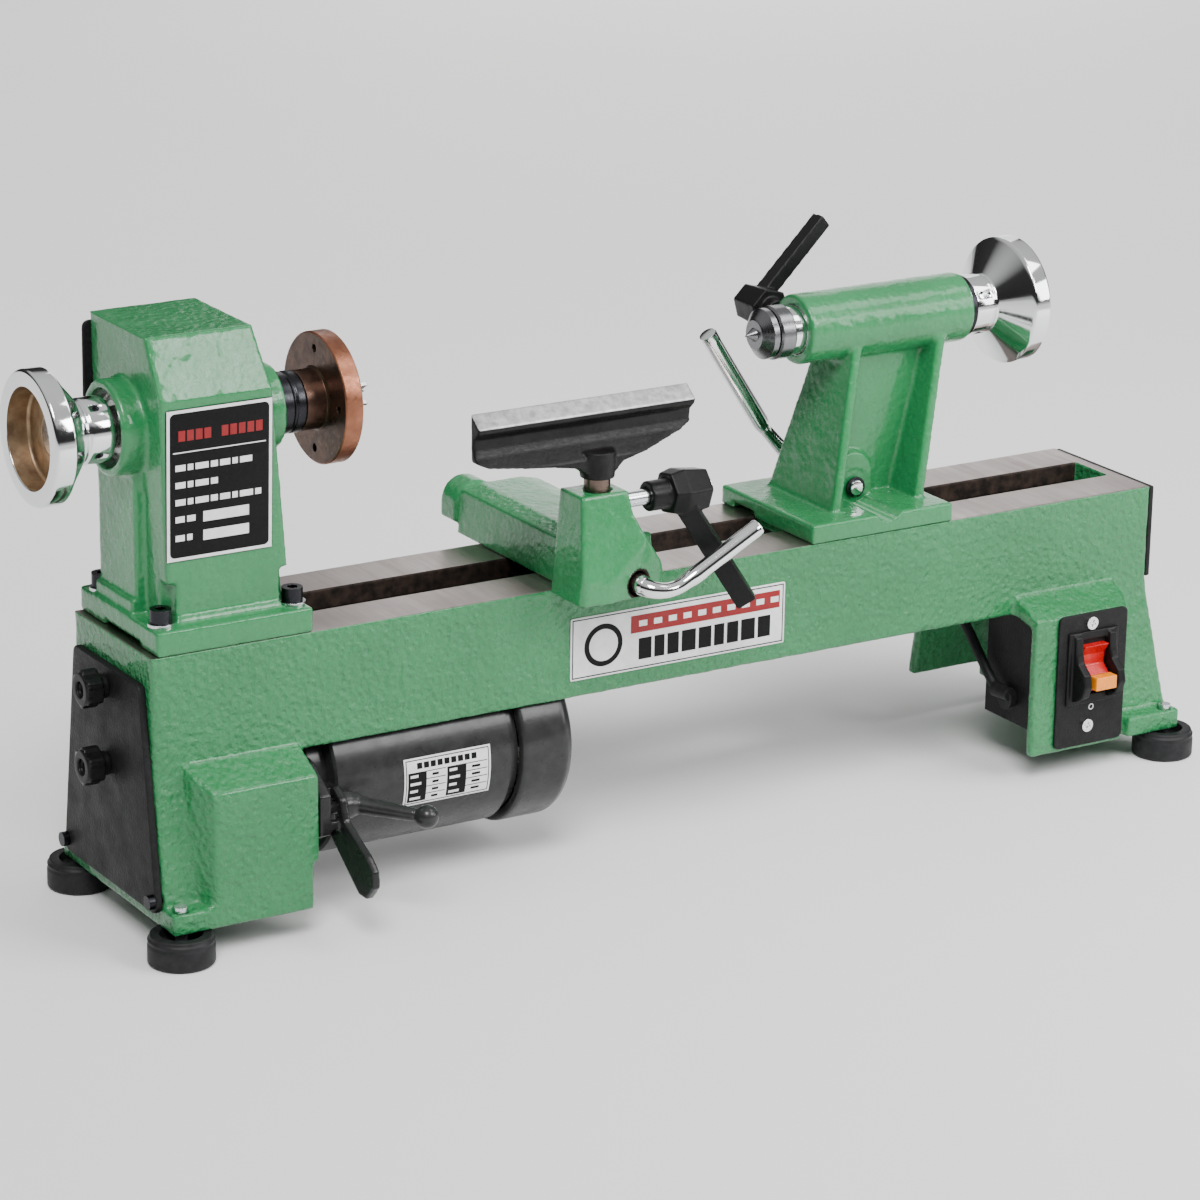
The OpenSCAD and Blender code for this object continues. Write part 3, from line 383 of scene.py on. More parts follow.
def add_prism(bm, pts, place, depth, round_mm=0.0, mat=0):
    """pts are (u, v); place maps (u, v, w) to a point; the prism runs from w=0 to w=depth."""
    low = [bm.verts.new(place(u, v, 0)) for u, v in pts]
    high = [bm.verts.new(place(u, v, depth)) for u, v in pts]
    faces = [bm.faces.new(low), bm.faces.new(high)]
    for k in range(len(pts)):
        n = (k + 1) % len(pts)
        faces.append(bm.faces.new((low[k], low[n], high[n], high[k])))
    bmesh.ops.recalc_face_normals(bm, faces=faces)
    for f in faces:
        f.material_index = mat
    if round_mm:
        rim = list({e for f in faces[:2] for e in f.edges})
        out = bmesh.ops.bevel(bm, geom=rim, offset=round_mm, segments=3, profile=0.5, affect="EDGES")
        for f in out["faces"]:
            f.material_index = mat


def arc_corner(a, b, c, r, steps=5):
    """Points that round the corner at b."""
    a, b, c = Vector(a), Vector(b), Vector(c)
    u, v = (a - b), (c - b)
    cut = min(r, 0.49 * u.length, 0.49 * v.length)
    if cut < 0.02:
        return [tuple(b)]
    p, q = b + u.normalized() * cut, b + v.normalized() * cut
    out = []
    for k in range(steps + 1):
        s = k / steps
        out.append(tuple(p * (1 - s) ** 2 + b * 2 * s * (1 - s) + q * s * s))
    return out


def rounded(pts, r, steps=5):
    """Outline with every corner rounded; r is one radius or one per corner."""
    n = len(pts)
    out = []
    for k in range(n):
        rk = r[k] if isinstance(r, (list, tuple)) else r
        out += arc_corner(pts[k - 1], pts[k], pts[(k + 1) % n], rk, steps)
    return out


def rect(u0, v0, u1, v1):
    return [(u0, v0), (u1, v0), (u1, v1), (u0, v1)]


def add_turned(bm, profile, y, z, seg=96, mats=None):
    """profile is a closed outline of (radius, x) points turned about an axis parallel to X."""
    rings = []
    for r, x in profile:
        rings.append([bm.verts.new((x, y + r * math.cos(a), z + r * math.sin(a)))
                      for a in (2 * math.pi * k / seg for k in range(seg))])
    n = len(rings)
    faces = []
    for k in range(n):
        a, b = rings[k], rings[(k + 1) % n]
        for i in range(seg):
            j = (i + 1) % seg
            f = bm.faces.new((a[i], b[i], b[j], a[j]))
            f.material_index = mats(profile[k], profile[(k + 1) % n]) if mats else 0
            faces.append(f)
    bmesh.ops.recalc_face_normals(bm, faces=faces)


def turned(profile, y, z, r=0.8, seg=96, mats=None):
    bm = bmesh.new()
    add_turned(bm, rounded(profile, r, steps=4), y, z, seg, mats)
    return bm


def smooth_path(points, per=8):
    """Catmull-Rom points through rows of equal length."""
    pts = [np.array(p, float) for p in points]
    pts = [2 * pts[0] - pts[1]] + pts + [2 * pts[-1] - pts[-2]]
    out = []
    for k in range(1, len(pts) - 2):
        p0, p1, p2, p3 = pts[k - 1:k + 3]
        for s in range(per):
            t = s / per
            out.append(0.5 * (2 * p1 + (p2 - p0) * t + (2 * p0 - 5 * p1 + 4 * p2 - p3) * t * t
                              + (3 * p1 - p0 - 3 * p2 + p3) * t ** 3))
    out.append(pts[-2])
    return out


def add_sweep(bm, rows, seg=32, cap=0.8):
    """rows are (x, y, z, radius); the ends are closed with a small round."""
    pts = [Vector([float(c) for c in r[:3]]) for r in rows]
    rad = [float(r[3]) for r in rows]
    start = (pts[1] - pts[0]).normalized()
    end = (pts[-1] - pts[-2]).normalized()
    head = [(pts[0], rad[0] - cap), (pts[0] + start * cap * 0.3, rad[0] - cap * 0.3),
            (pts[0] + start * cap, rad[0])]
    tail = [(pts[-1] - end * cap, rad[-1]), (pts[-1] - end * cap * 0.3, rad[-1] - cap * 0.3),
            (pts[-1], rad[-1] - cap)]
    line = head + list(zip(pts[1:-1], rad[1:-1])) + tail
    side = start.orthogonal().normalized()
    rings = []
    for k, (p, r) in enumerate(line):
        a = line[max(k - 1, 0)][0]
        b = line[min(k + 1, len(line) - 1)][0]
        d = (b - a).normalized()
        side = (side - d * side.dot(d)).normalized()
        other = d.cross(side)
        rings.append([bm.verts.new(p + r * (side * math.cos(t) + other * math.sin(t)))
                      for t in (2 * math.pi * i / seg for i in range(seg))])
    faces = [bm.faces.new(rings[0]), bm.faces.new(rings[-1])]
    for a, b in zip(rings, rings[1:]):
        for i in range(seg):
            j = (i + 1) % seg
            faces.append(bm.faces.new((a[i], b[i], b[j], a[j])))
    bmesh.ops.recalc_face_normals(bm, faces=faces)


def node_bmesh(node):
    bm = bmesh.new()
    bm.from_mesh(nodes[node].data)
    bmesh.ops.scale(bm, vec=(1 / MM,) * 3, verts=bm.verts)
    bmesh.ops.translate(bm, vec=-HOME, verts=bm.verts)
    bmesh.ops.remove_doubles(bm, verts=bm.verts, dist=0.002)
    for f in bm.faces:
        f.material_index = 0
    return bm


def cast(node, body, mats, voxel=1.2, passes=4, hold=None, extra=None, wave=0.0, pick=None, snap=None):
    """Remesh of a CAD node with softened cast edges.

    hold gives each vertex 0 (free) to 1 (kept), extra adds shapes before the remesh, wave is the
    height of the uneven surface, snap corrects the result and pick chooses a material per face.
    """
    bm = node_bmesh(node)
    if extra:
        extra(bm)
    mesh = bpy.data.meshes.new("tmp")
    bm.to_mesh(mesh)
    bm.free()
    o = bpy.data.objects.new("tmp", mesh)
    bpy.context.scene.collection.objects.link(o)
    mod = o.modifiers.new("remesh", "REMESH")
    mod.mode = "VOXEL"
    mod.voxel_size = voxel
    dg = bpy.context.evaluated_depsgraph_get()
    out = bpy.data.meshes.new_from_object(o.evaluated_get(dg))
    bpy.data.objects.remove(o)
    bpy.data.meshes.remove(mesh)
    n = len(out.vertices)
    co = np.zeros(n * 3)
    out.vertices.foreach_get("co", co)
    co = co.reshape(-1, 3)
    ed = np.zeros(len(out.edges) * 2, int)
    out.edges.foreach_get("vertices", ed)
    ed = ed.reshape(-1, 2)
    first = co.copy()
    free = 1 - (hold(first) if hold else np.zeros(n))
    count = np.bincount(ed.ravel(), minlength=n)
    for _ in range(passes):
        mean = np.empty_like(co)
        for k in range(3):
            mean[:, k] = (np.bincount(ed[:, 0], co[ed[:, 1], k], n)
                          + np.bincount(ed[:, 1], co[ed[:, 0], k], n)) / count
        co += 0.55 * free[:, None] * (mean - co)
    if wave:
        out.vertices.foreach_set("co", co.ravel())
        out.update()
        no = np.zeros(n * 3)
        out.vertices.foreach_get("normal", no)
        no = no.reshape(-1, 3)
        bumpy = np.array([noise.noise(Vector(c) / 13.0) + 0.5 * noise.noise(Vector(c) / 5.0) for c in co])
        co += no * (bumpy * wave * free)[:, None]
    if snap:
        co = snap(first, co)
    out.vertices.foreach_set("co", ((co + np.array(HOME)) * MM).ravel())
    out.update()
    if pick:
        ce = np.zeros(len(out.polygons) * 3)
        out.polygons.foreach_get("center", ce)
        nm = np.zeros(len(out.polygons) * 3)
        out.polygons.foreach_get("normal", nm)
        middle = ce.reshape(-1, 3) / MM - np.array(HOME)
        out.polygons.foreach_set("material_index", pick(middle, nm.reshape(-1, 3)).astype(int))
    return finish_mesh(node + "_body", out, body, mats, (node,), sharp=None)


def dress(node, *mats):
    """Gives a CAD node its looks."""
    o = nodes[node]
    o.data.materials.clear()
    for m in mats:
        o.data.materials.append(m)


# ---- bed ----

def build_bed():
    def hold(co):
        machined = (co[:, 2] > TOP - 1.3) | ((np.abs(co[:, 1]) < 19.5) & (co[:, 2] > TOP - 15))
        return machined * 0.8

    def snap(first, co):
        top = first[:, 2] > TOP - 0.9
        inner = top & (np.abs(co[:, 0]) < 368) & (np.abs(co[:, 1]) < HALF_W - 1.6)
        co[inner, 2] = TOP
        co[:, 2] = np.minimum(co[:, 2], TOP)
        return co

    def pick(ce, nm):
        top = (ce[:, 2] > TOP - 0.8) & (nm[:, 2] > 0.8)
        # slot walls: raw edge brown, darkened as painted shade in the slot
        slot_wall = (np.abs(ce[:, 1]) < 18.8) & (ce[:, 2] > TOP - 14.6) & (np.abs(nm[:, 1]) > 0.5)
        return np.where(top, 1, np.where(slot_wall, 2, 0))

    cast("bed", "base", [GREEN, WAYS, RAW_EDGE_AND_SHADE], voxel=1.2, passes=13, hold=hold,
         wave=0.28, pick=pick, snap=snap)


build_bed()


def build_end_plate():
    bm = bmesh.new()
    add_box(bm, *corners("bed_end_plate"), 1.2)
    finish_piece("bed_end_plate_body", bm, "base", BLACK_ROUGH, ("bed_end_plate",))


build_end_plate()


def build_feet():
    lo, hi = corners("feet")
    r = 20.5
    for i, x in enumerate((lo.x + r, hi.x - r)):
        for j, y in enumerate((lo.y + r, hi.y - r)):
            bm = bmesh.new()
            pts = [(9, 0), (r - 1.5, 0), (r, 1.5), (r, 12), (r - 0.7, 14), (r, 15.6), (r - 1.2, 17),
                   (r - 1.6, 18.9), (13, 18.9), (12.4, 13), (4.5, 13), (4.5, 7), (9, 6.8)]
            add_turned(bm, rounded(pts, 0.7), 0, 0, 64)
            bmesh.ops.rotate(bm, matrix=Matrix.Rotation(math.radians(-90), 3, "Y"), verts=bm.verts)
            bmesh.ops.translate(bm, vec=(x, y, 0), verts=bm.verts)
            finish_piece(f"foot_{i}{j}", bm, "base", RUBBER, ("feet",), 40)


build_feet()
dress("foot_bolts", ZINC)


def build_left_cover():
    lo, hi = corners("left_cover")
    bm = bmesh.new()
    outline = rounded([(-45, hi.z), (45, hi.z), (64, 33), (60, lo.z), (-60, lo.z), (-64, 33)],
                      [5, 5, 3, 2, 2, 3])
    add_prism(bm, outline, lambda u, v, w: (hi.x - w, u, v), hi.x - lo.x, 1.2)
    finish_piece("left_cover_body", bm, "base", BLACK_ROUGH, ("left_cover",), 30)


build_left_cover()
dress("left_cover_screws", OXIDE)


cast("cover_knob_upper", "upper_cover_knob", PLASTIC, voxel=0.5, passes=5)
cast("cover_knob_lower", "lower_cover_knob", PLASTIC, voxel=0.5, passes=5)
cast("rear_knob", "back_cover_knob", PLASTIC, voxel=0.5, passes=5)


# ---- headstock ----

def build_headstock():
    def extra(bm):
        # broad rib that carries the left bearing boss down to the flange
        add_box(bm, (-361.5, -15, TOP + 8), (-350, 36, AXIS - 4))
        add_box(bm, (-364.5, -15, TOP + 8), (-350, 36, TOP + 24))

    def hold(co):
        return (np.hypot(co[:, 1], co[:, 2] - AXIS) < 26) * 0.6

    cast("headstock", "base", [GREEN_FINE], voxel=1.0, passes=9, hold=hold, wave=0.22,
         extra=extra)


build_headstock()
dress("headstock_screws", OXIDE)
dress("headstock_washers", ZINC)
dress("spindle_bearings", STEEL)


def plane(origin, u, v):
    """Maps (u, v, w) on a flat face to a point; w stands out from it."""
    origin, u, v = Vector(origin), Vector(u).normalized(), Vector(v).normalized()
    out = u.cross(v).normalized()
    return lambda a, b, c: origin + u * a + v * b + out * c


def marks(name, place, base, body, groups, thick=0.12):
    """Printed shapes: groups are (material, outlines, lift)."""
    bm = bmesh.new()
    for k, (_, outlines, lift) in enumerate(groups):
        for pts in outlines:
            add_prism(bm, pts, lambda u, v, w, lift=lift: place(u, v, base + lift + w), thick, mat=k)
    return finish_piece(name, bm, body, [g[0] for g in groups], (), 30)


def build_nameplate():
    lo, hi = corners("nameplate")
    z0, z1 = lo.z, hi.z
    # the front wall leans out towards the top
    y0, y1 = -43.2, -45.91
    place = plane((lo.x, y0 - 0.02, z0), (1, 0, 0), (0, y1 - y0, z1 - z0))
    w, h = hi.x - lo.x, math.hypot(y1 - y0, z1 - z0)
    bm = bmesh.new()
    add_prism(bm, rounded(rect(0, 0, w, h), 2), place, 0.62, 0.15)
    finish_piece("nameplate_body", bm, "base", BLACK_INK, ("nameplate",), 30)
    band = [rect(0, 0, w, 2), rect(0, h - 2, w, h), rect(0, 2, 2, h - 2), rect(w - 2, 2, w, h - 2)]
    for u, v, a, b in ((2, 2, 1, 1), (w - 2, 2, -1, 1), (2, h - 2, 1, -1), (w - 2, h - 2, -1, -1)):
        arc = [(u + a * 3.2 * (1 - math.cos(t)), v + b * 3.2 * (1 - math.sin(t)))
               for t in (math.pi / 2 * k / 6 for k in range(7))]
        band.append([(u, v)] + arc)
    white = [[(u * (w - 0.8) / w + 0.4, v * (h - 0.8) / h + 0.4) for u, v in pts] for pts in band]
    white.append(rect(4.5, 66.4, w - 4.5, 67.1))
    # rows of blocks in place of lettering
    for v, u1 in ((55.5, 56), (45, 34), (34.5, 62)):
        u, k = 6, 0
        while u < u1:
            step = (8, 5, 10, 6)[k % 4]
            white.append(rect(u, v, min(u + step - 1.4, u1), v + 3.8))
            u += step
            k += 1
    for v in (24, 12.5):
        white.append(rect(6, v, 12, v + 3.8))
        white.append(rect(13.5, v, 19 - (v < 20) * 2, v + 3.8))
        white.append(rect(24, v - 1.4, 54, v + 5))
    red = [rect(8 + 5.6 * k, 73.5, 12.4 + 5.6 * k, 80) for k in range(10) if k != 4]
    marks("nameplate_print", place, 0.62, "base",
          [(WHITE_INK, white, 0), (RED_INK, red, 0)])


build_nameplate()


def build_rear_cover():
    lo, hi = corners("rear_cover")
    bm = bmesh.new()
    place = plane((hi.x, 47.1, lo.z), (-1, 0, 0), (0, -1, 86))
    add_prism(bm, rounded(rect(0, 0, hi.x - lo.x, hi.z - lo.z), 5), place, 2.6, 0.9)
    finish_piece("rear_cover_body", bm, "base", BLACK_ROUGH, ("rear_cover",), 30)


build_rear_cover()


# ---- spindle ----

def drill(o, name, p, q, r):
    """Cuts a round hole from p to q, in millimetres."""
    bm = bmesh.new()
    p, q = Vector(p), Vector(q)
    bmesh.ops.create_cone(bm, cap_ends=True, segments=32, radius1=r, radius2=r, depth=(q - p).length)
    turn = Vector((0, 0, 1)).rotation_difference(q - p).to_matrix()
    bmesh.ops.rotate(bm, matrix=turn, verts=bm.verts)
    bmesh.ops.translate(bm, vec=(p + q) / 2 + HOME, verts=bm.verts)
    bmesh.ops.scale(bm, vec=(MM,) * 3, verts=bm.verts)
    mesh = bpy.data.meshes.new(name)
    bm.to_mesh(mesh)
    bm.free()
    cutter = bpy.data.objects.new(name, mesh)
    bpy.context.scene.collection.objects.link(cutter)
    mod = o.modifiers.new("hole", "BOOLEAN")
    mod.operation = "DIFFERENCE"
    mod.solver = "EXACT"
    mod.object = cutter
    bpy.context.view_layer.update()
    dg = bpy.context.evaluated_depsgraph_get()
    made = bpy.data.meshes.new_from_object(o.evaluated_get(dg))
    o.modifiers.clear()
    o.data = made
    bpy.data.objects.remove(cutter)


def chrome_wheel(node, body, face, way, hub_end, cup_r, bore):
    """Dished wheel: flat rim band round a bare cup, a straight cone and a plain hub."""
    big = corners(node)[1].z - AXIS

    def at(r, d):
        return r, face + way * d

    pts = [at(bore, 14.9), at(cup_r - 1.5, 14.9), at(cup_r, 13.4), at(cup_r, 0), at(big - 1.4, 0),
           at(big, 1.4), at(big, 12.4), at(big - 1.4, 13.6), (19, hub_end - way * 17.2),
           (18.6, hub_end - way * 15.9), (20, hub_end - way * 14.6), (20, hub_end), (bore, hub_end)]

    def mats(a, b):
        deep = max(way * (a[1] - face), way * (b[1] - face))
        return 1 if max(a[0], b[0]) < cup_r + 0.1 and deep < 15.2 else 0

    bm = turned(pts, 0, AXIS, 0.9, 128, mats)
    return finish_piece(node + "_body", bm, body, [CHROME, CUP], (node,), 30)


def spoke(angle):
    a = math.radians(angle)
    return Vector((0, -math.sin(a), math.cos(a)))


def build_wheels():
    left = chrome_wheel("handwheel", "spindle_set", corners("handwheel")[0].x, 1, -374.8, 30.5, 12.6)
    right = chrome_wheel("tail_wheel", "feed", corners("tail_wheel")[1].x, -1, 245.5, 31.5, 6.1)
    bm = bmesh.new()
    for a in (35, 125):
        d = spoke(a)
        hub = Vector((-384, 0, AXIS))
        drill(left, "set_screw_hole", hub + d * 15, hub + d * 24, 2.5)
        made = bmesh.ops.create_cone(bm, cap_ends=True, segments=24, radius1=2.45, radius2=2.45, depth=3.2)
        bmesh.ops.rotate(bm, matrix=Vector((0, 0, 1)).rotation_difference(d).to_matrix(), verts=made["verts"])
        bmesh.ops.translate(bm, vec=hub + d * 16.4, verts=made["verts"])
    finish_piece("hub_grub_screws", bm, "spindle_set", OXIDE, (), 30)
    for a in (60, 150):
        d = spoke(a)
        hub = Vector((253, 0, AXIS))
        drill(right, "tommy_hole", hub + d * 13, hub + d * 25, 2.5)


build_wheels()


def build_collar():
    lo, hi = corners("spindle_collar")
    pts = [(12.6, hi.x), (18.2, hi.x), (19, hi.x - 0.8), (19, hi.x - 6), (18.2, hi.x - 7), (18.2, hi.x - 8),
           (19, hi.x - 9), (19, hi.x - 16), (18, hi.x - 17.4), (15.5, hi.x - 17.5), (15.5, lo.x), (12.6, lo.x)]
    finish_piece("spindle_collar_body", turned(pts, 0, AXIS, 0.6), "spindle_set", OXIDE,
                 ("spindle_collar",), 30)


build_collar()
dress("faceplate", BRONZE)
dress("spindle", STEEL)
dress("spindle_pulley", ALLOY)
dress("spur_centre", STEEL)
dress("drive_belt", RUBBER)
dress("motor_pivot", ZINC)
dress("motor_shaft", STEEL)
dress("motor_pulley", ALLOY)


# ---- motor ----

def build_motor():
    dress("motor_body", MOTOR_BLACK)
    cast("motor_cowl", "motor", MOTOR_BLACK, voxel=1.1, passes=7)
    cast("motor_plate", "motor", BLACK, voxel=0.8, passes=4)
    lo, hi = corners("motor_label")
    u1 = hi.x - lo.x

    def wrap(u, v, w):
        a = v / BARREL_R
        far = BARREL_R + w
        return Vector((lo.x + u, -far * math.cos(a), MOTOR + far * math.sin(a)))

    def patch(bm, u0, v0, u2, v2, lift, thick, mat):
        """Curved rectangle on the barrel; the cuts along it keep it on the curve."""
        n = max(1, int((v2 - v0) / 2.0))
        for k in range(n):
            a, b = v0 + (v2 - v0) * k / n, v0 + (v2 - v0) * (k + 1) / n
            low = [bm.verts.new(wrap(u, v, lift)) for u, v in ((u0, a), (u2, a), (u2, b), (u0, b))]
            top = [bm.verts.new(wrap(u, v, lift + thick)) for u, v in ((u0, a), (u2, a), (u2, b), (u0, b))]
            faces = [bm.faces.new(low), bm.faces.new(top)]
            for i in range(4):
                j = (i + 1) % 4
                if (k > 0 and i == 0) or (k < n - 1 and i == 2):
                    continue
                faces.append(bm.faces.new((low[i], low[j], top[j], top[i])))
            for f in faces:
                f.material_index = mat

    bm = bmesh.new()
    v0, v1 = -18.5, 13.1
    patch(bm, 0, v0, u1, v1, -0.1, 0.35, 0)
    for a, b, c, d in ((1.2, v0 + 1.2, u1 - 1.2, v0 + 1.8), (1.2, v1 - 1.8, u1 - 1.2, v1 - 1.2),
                       (1.2, v0 + 1.8, 1.8, v1 - 1.8), (u1 - 1.8, v0 + 1.8, u1 - 1.2, v1 - 1.8)):
        patch(bm, a, b, c, d, 0.25, 0.06, 1)
    for k in range(9):
        patch(bm, 9 + 4.8 * k, v1 - 7.2, 12.6 + 4.8 * k, v1 - 3.4, 0.25, 0.06, 1)
    low, high = v0 + 2.6, v1 - 9.2
    step = (high - low) / 4
    for a, b, c in ((2.6, 15.5, 29), (30, 43.5, u1 - 2.6)):
        patch(bm, a, low, b, high, 0.25, 0.06, 1)
        for row in range(4):
            v = low + step * row
            patch(bm, a + 1.6, v + 1.6, a + 9 - (row % 2) * 2, v + step - 1.6, 0.31, 0.06, 0)
            patch(bm, b, v + step - 0.5, c, v + step, 0.25, 0.06, 1)
            patch(bm, b + 4, v + 1.4, c - 5, v + step - 2, 0.25, 0.06, 1)
    bmesh.ops.remove_doubles(bm, verts=bm.verts, dist=0.001)
    bmesh.ops.recalc_face_normals(bm, faces=bm.faces)
    finish_piece("motor_label_print", bm, "motor", [WHITE_INK, BLACK_INK], ("motor_label",), 30)


build_motor()
cast("motor_lock", "motor_lock_lever", MOTOR_BLACK, voxel=0.6, passes=4)


# ---- tool rest ----

def banjo_hold(co):
    return (co[:, 2] < TOP + 1.4) * 0.6


def bore_shadow_pick(ce, nm):
    """The cross bore and the ring round its mouth, coloured dark as a painted shadow."""
    c = joint_at("rest_eccentric_turn")
    return (np.hypot(ce[:, 0] - c.x, ce[:, 2] - c.z) < 9.8).astype(int)


def banjo_seat(first, co):
    """Keeps the underside just clear of the ways."""
    return np.column_stack((co[:, 0], co[:, 1], np.maximum(co[:, 2], TOP + 0.3)))


cast("banjo", "banjo_body", [GREEN_FINE, RAW_EDGE_AND_SHADE], voxel=0.9, passes=9, hold=banjo_hold,
     wave=0.2, pick=bore_shadow_pick, snap=banjo_seat)
dress("rest_shoe", CAST)
dress("tail_shoe", CAST)
dress("rest_bolt", STEEL)
dress("tail_bolt", STEEL)
dress("rest_post", BROWN_STEEL)


def build_rest_cam():
    c = joint_at("rest_eccentric_turn")
    x, z = c.x, c.z
    rows = [(x, 77, z, 6), (x, 65, z, 6), (x, 63.9, z, 7), (x, 40, z, 7), (x, -40, z, 7), (x, -88, z, 6.6),
            (x + 1, -96, z - 0.8, 6), (x + 4.6, -101, z - 2, 5.4), (x + 12, -104, z - 2.6, 4.8),
            (x + 20, -104.8, z - 1.2, 4.6), (x + 26, -105, z + 1.5, 4.8), (x + 31, -105, z + 4, 5.5),
            (x + 40, -105, z + 8.8, 5.5), (x + 60, -105, z + 19.4, 5.5), (x + 77.8, -105, z + 28.8, 5.5)]
    bm = bmesh.new()
    add_sweep(bm, smooth_path(rows, 5), 40)
    finish_piece("rest_cam_body", bm, "rest_eccentric", CHROME, ("rest_cam",), 40)


build_rest_cam()


def edge_grey():
    p = Paint("rest_edge", rough=0.36, metal=0.6)
    p.colour(p.blend(p.span(p.noise(200, 4), 0.35, 0.65), srgb(150, 148, 150), srgb(190, 188, 190)))
    p.bump(p.noise(700, 3), 0.08, 0.7)
    return p.m


EDGE = edge_grey()


def build_tool_rest():
    edge = corners("tool_rest")[1].z

    def pick(ce, nm):
        return ((ce[:, 2] > edge - 8.2) & (nm[:, 2] > 0.2) & (nm[:, 1] < -0.25) | (nm[:, 2] > 0.55)
                & (ce[:, 2] > edge - 9)).astype(int)

    cast("tool_rest", "rest_blade", [CAST, EDGE], voxel=0.6, passes=9, wave=0.1, pick=pick,
         hold=lambda co: (co[:, 2] > edge - 9) * 0.6)


build_tool_rest()
cast("rest_lock", "rest_lock_handle", PLASTIC, voxel=0.7, passes=3)
dress("rest_lock_stud", ZINC)


# ---- tailstock ----

def build_tailstock():
    cam = joint_at("tail_eccentric_turn")

    def hold(co):
        return ((np.hypot(co[:, 1], co[:, 2] - AXIS) < 18) | (co[:, 2] < TOP + 1.2)) * 0.7

    def pick(ce, nm):
        return (np.hypot(ce[:, 1], ce[:, 2] - AXIS) < 16.6).astype(int) * (ce[:, 0] > 108)

    def snap(first, co):
        low = (first[:, 2] < TOP + 0.8) & (first[:, 2] > TOP - 1)
        co[low, 2] = np.maximum(co[low, 2], TOP + 0.05)
        # flat seat behind the ring on the cross bar
        seat = np.hypot(co[:, 0] - cam.x, co[:, 2] - cam.z) < 12
        co[seat, 1] = np.clip(co[seat, 1], -12.7, 12.7)
        return co

    cast("tailstock", "tailstock_body", [GREEN_FINE, STEEL], voxel=1.0, passes=8, hold=hold,
         wave=0.2, pick=pick, snap=snap)


build_tailstock()


def build_tail_cam():
    c = joint_at("tail_eccentric_turn")
    x, z = c.x, c.z
    rows = [(x, -17, z, 5), (x, 0, z, 5), (x, 40, z, 5), (x, 56, z, 5), (x - 0.8, 63, z + 2, 5),
            (x - 4, 68, z + 7, 4.9), (x - 9.5, 69.6, z + 13.6, 4.6), (x - 15, 70, z + 20, 4.6),
            (x - 18, 70, z + 24, 5.7), (x - 22, 70, z + 30, 6), (x - 40, 70, z + 57, 6),
            (x - 62.8, 70, z + 91.6, 6)]
    bm = bmesh.new()
    add_sweep(bm, smooth_path(rows, 5), 40)
    finish_piece("tail_cam_body", bm, "tail_eccentric", CHROME, ("tail_cam",), 40)


build_tail_cam()
dress("cam_clip", OXIDE)
dress("quill", CHROME)
dress("feed_screw", STEEL)
dress("screw_retainer", OXIDE)
dress("live_body", DARK_STEEL)
dress("live_nose", DARK_STEEL)
cast("quill_lock", "quill_lock_handle", PLASTIC, voxel=0.7, passes=3)


# ---- switch and lead ----

def build_switch():
    lo, hi = corners("switch_plate")
    place = plane((lo.x, hi.y, lo.z), (1, 0, 0), (0, 0, 1))
    w, h = hi.x - lo.x, hi.z - lo.z
    g0, g1 = corners("switch_guard")
    bm = bmesh.new()
    add_prism(bm, rounded(rect(0, 0, w, h), 5), place, 2.2, 0.7)
    finish_piece("switch_plate_body", bm, "base", BLACK_ROUGH, ("switch_plate",), 30)
    cast("switch_guard", "base", PLASTIC, voxel=0.55, passes=4)
    cast("switch_paddle", "paddle", RED, voxel=0.5, passes=4)
    cast("switch_key", "key", YELLOW, voxel=0.4, passes=4)
    # generic off ring below the guard, on bar above it
    ring = []
    c = (w / 2 + 1.0, g0.z - lo.z - 3.6)
    for k in range(24):
        a, b = 2 * math.pi * k / 24, 2 * math.pi * (k + 1) / 24
        ring.append([(c[0] + r * math.cos(t), c[1] + r * math.sin(t))
                     for r, t in ((1.4, a), (2.2, a), (2.2, b), (1.4, b))])
    above = g1.z - lo.z
    bar = rect(w / 2 + 0.6, above + 1.4, w / 2 + 1.4, above + 5.6)
    marks("switch_marks", place, 2.2, "base", [(WHITE_INK, ring + [bar], 0)], 0.1)


build_switch()
dress("switch_box", BLACK_ROUGH)
dress("plate_screws", CHROME)


def build_lead():
    route = ((-78, 38, 98), (-70, 37, 98.5), (-50, 30, 103), (-30, 26.5, 105.5), (-10, 24, 107), (60, 24, 107),
             (150, 24, 107), (236, 24, 107), (250, 23, 106.2), (260, 17, 101.5), (264.6, 5, 89),
             (266.3, -12, 69.5), (266.5, -24, 58), (266.5, -31, 53))
    pts = [(*p, 3.4) for p in route]
    bm = bmesh.new()
    add_sweep(bm, smooth_path(pts, 8), 20)
    for p, q, r in (((-78.3, 38, 98), (-71, 38, 98), 6), ((266.2, -40, 49), (272.8, -40, 49), 7.4)):
        made = bmesh.ops.create_cone(bm, cap_ends=True, segments=32, radius1=r, radius2=r * 0.86,
                                     depth=q[0] - p[0])
        bmesh.ops.rotate(bm, matrix=Matrix.Rotation(math.pi / 2, 3, "Y"), verts=made["verts"])
        bmesh.ops.translate(bm, vec=(Vector(p) + Vector(q)) / 2, verts=made["verts"])
    made = bmesh.ops.create_cone(bm, cap_ends=True, segments=32, radius1=5.4, radius2=4.2, depth=16)
    bmesh.ops.rotate(bm, matrix=Matrix.Rotation(math.pi / 2, 3, "X"), verts=made["verts"])
    bmesh.ops.translate(bm, vec=(266.5, -37.5, 53), verts=made["verts"])
    finish_piece("motor_lead_body", bm, "base", RUBBER, ("motor_lead",), 40)


build_lead()
dress("lead_clip", ZINC)


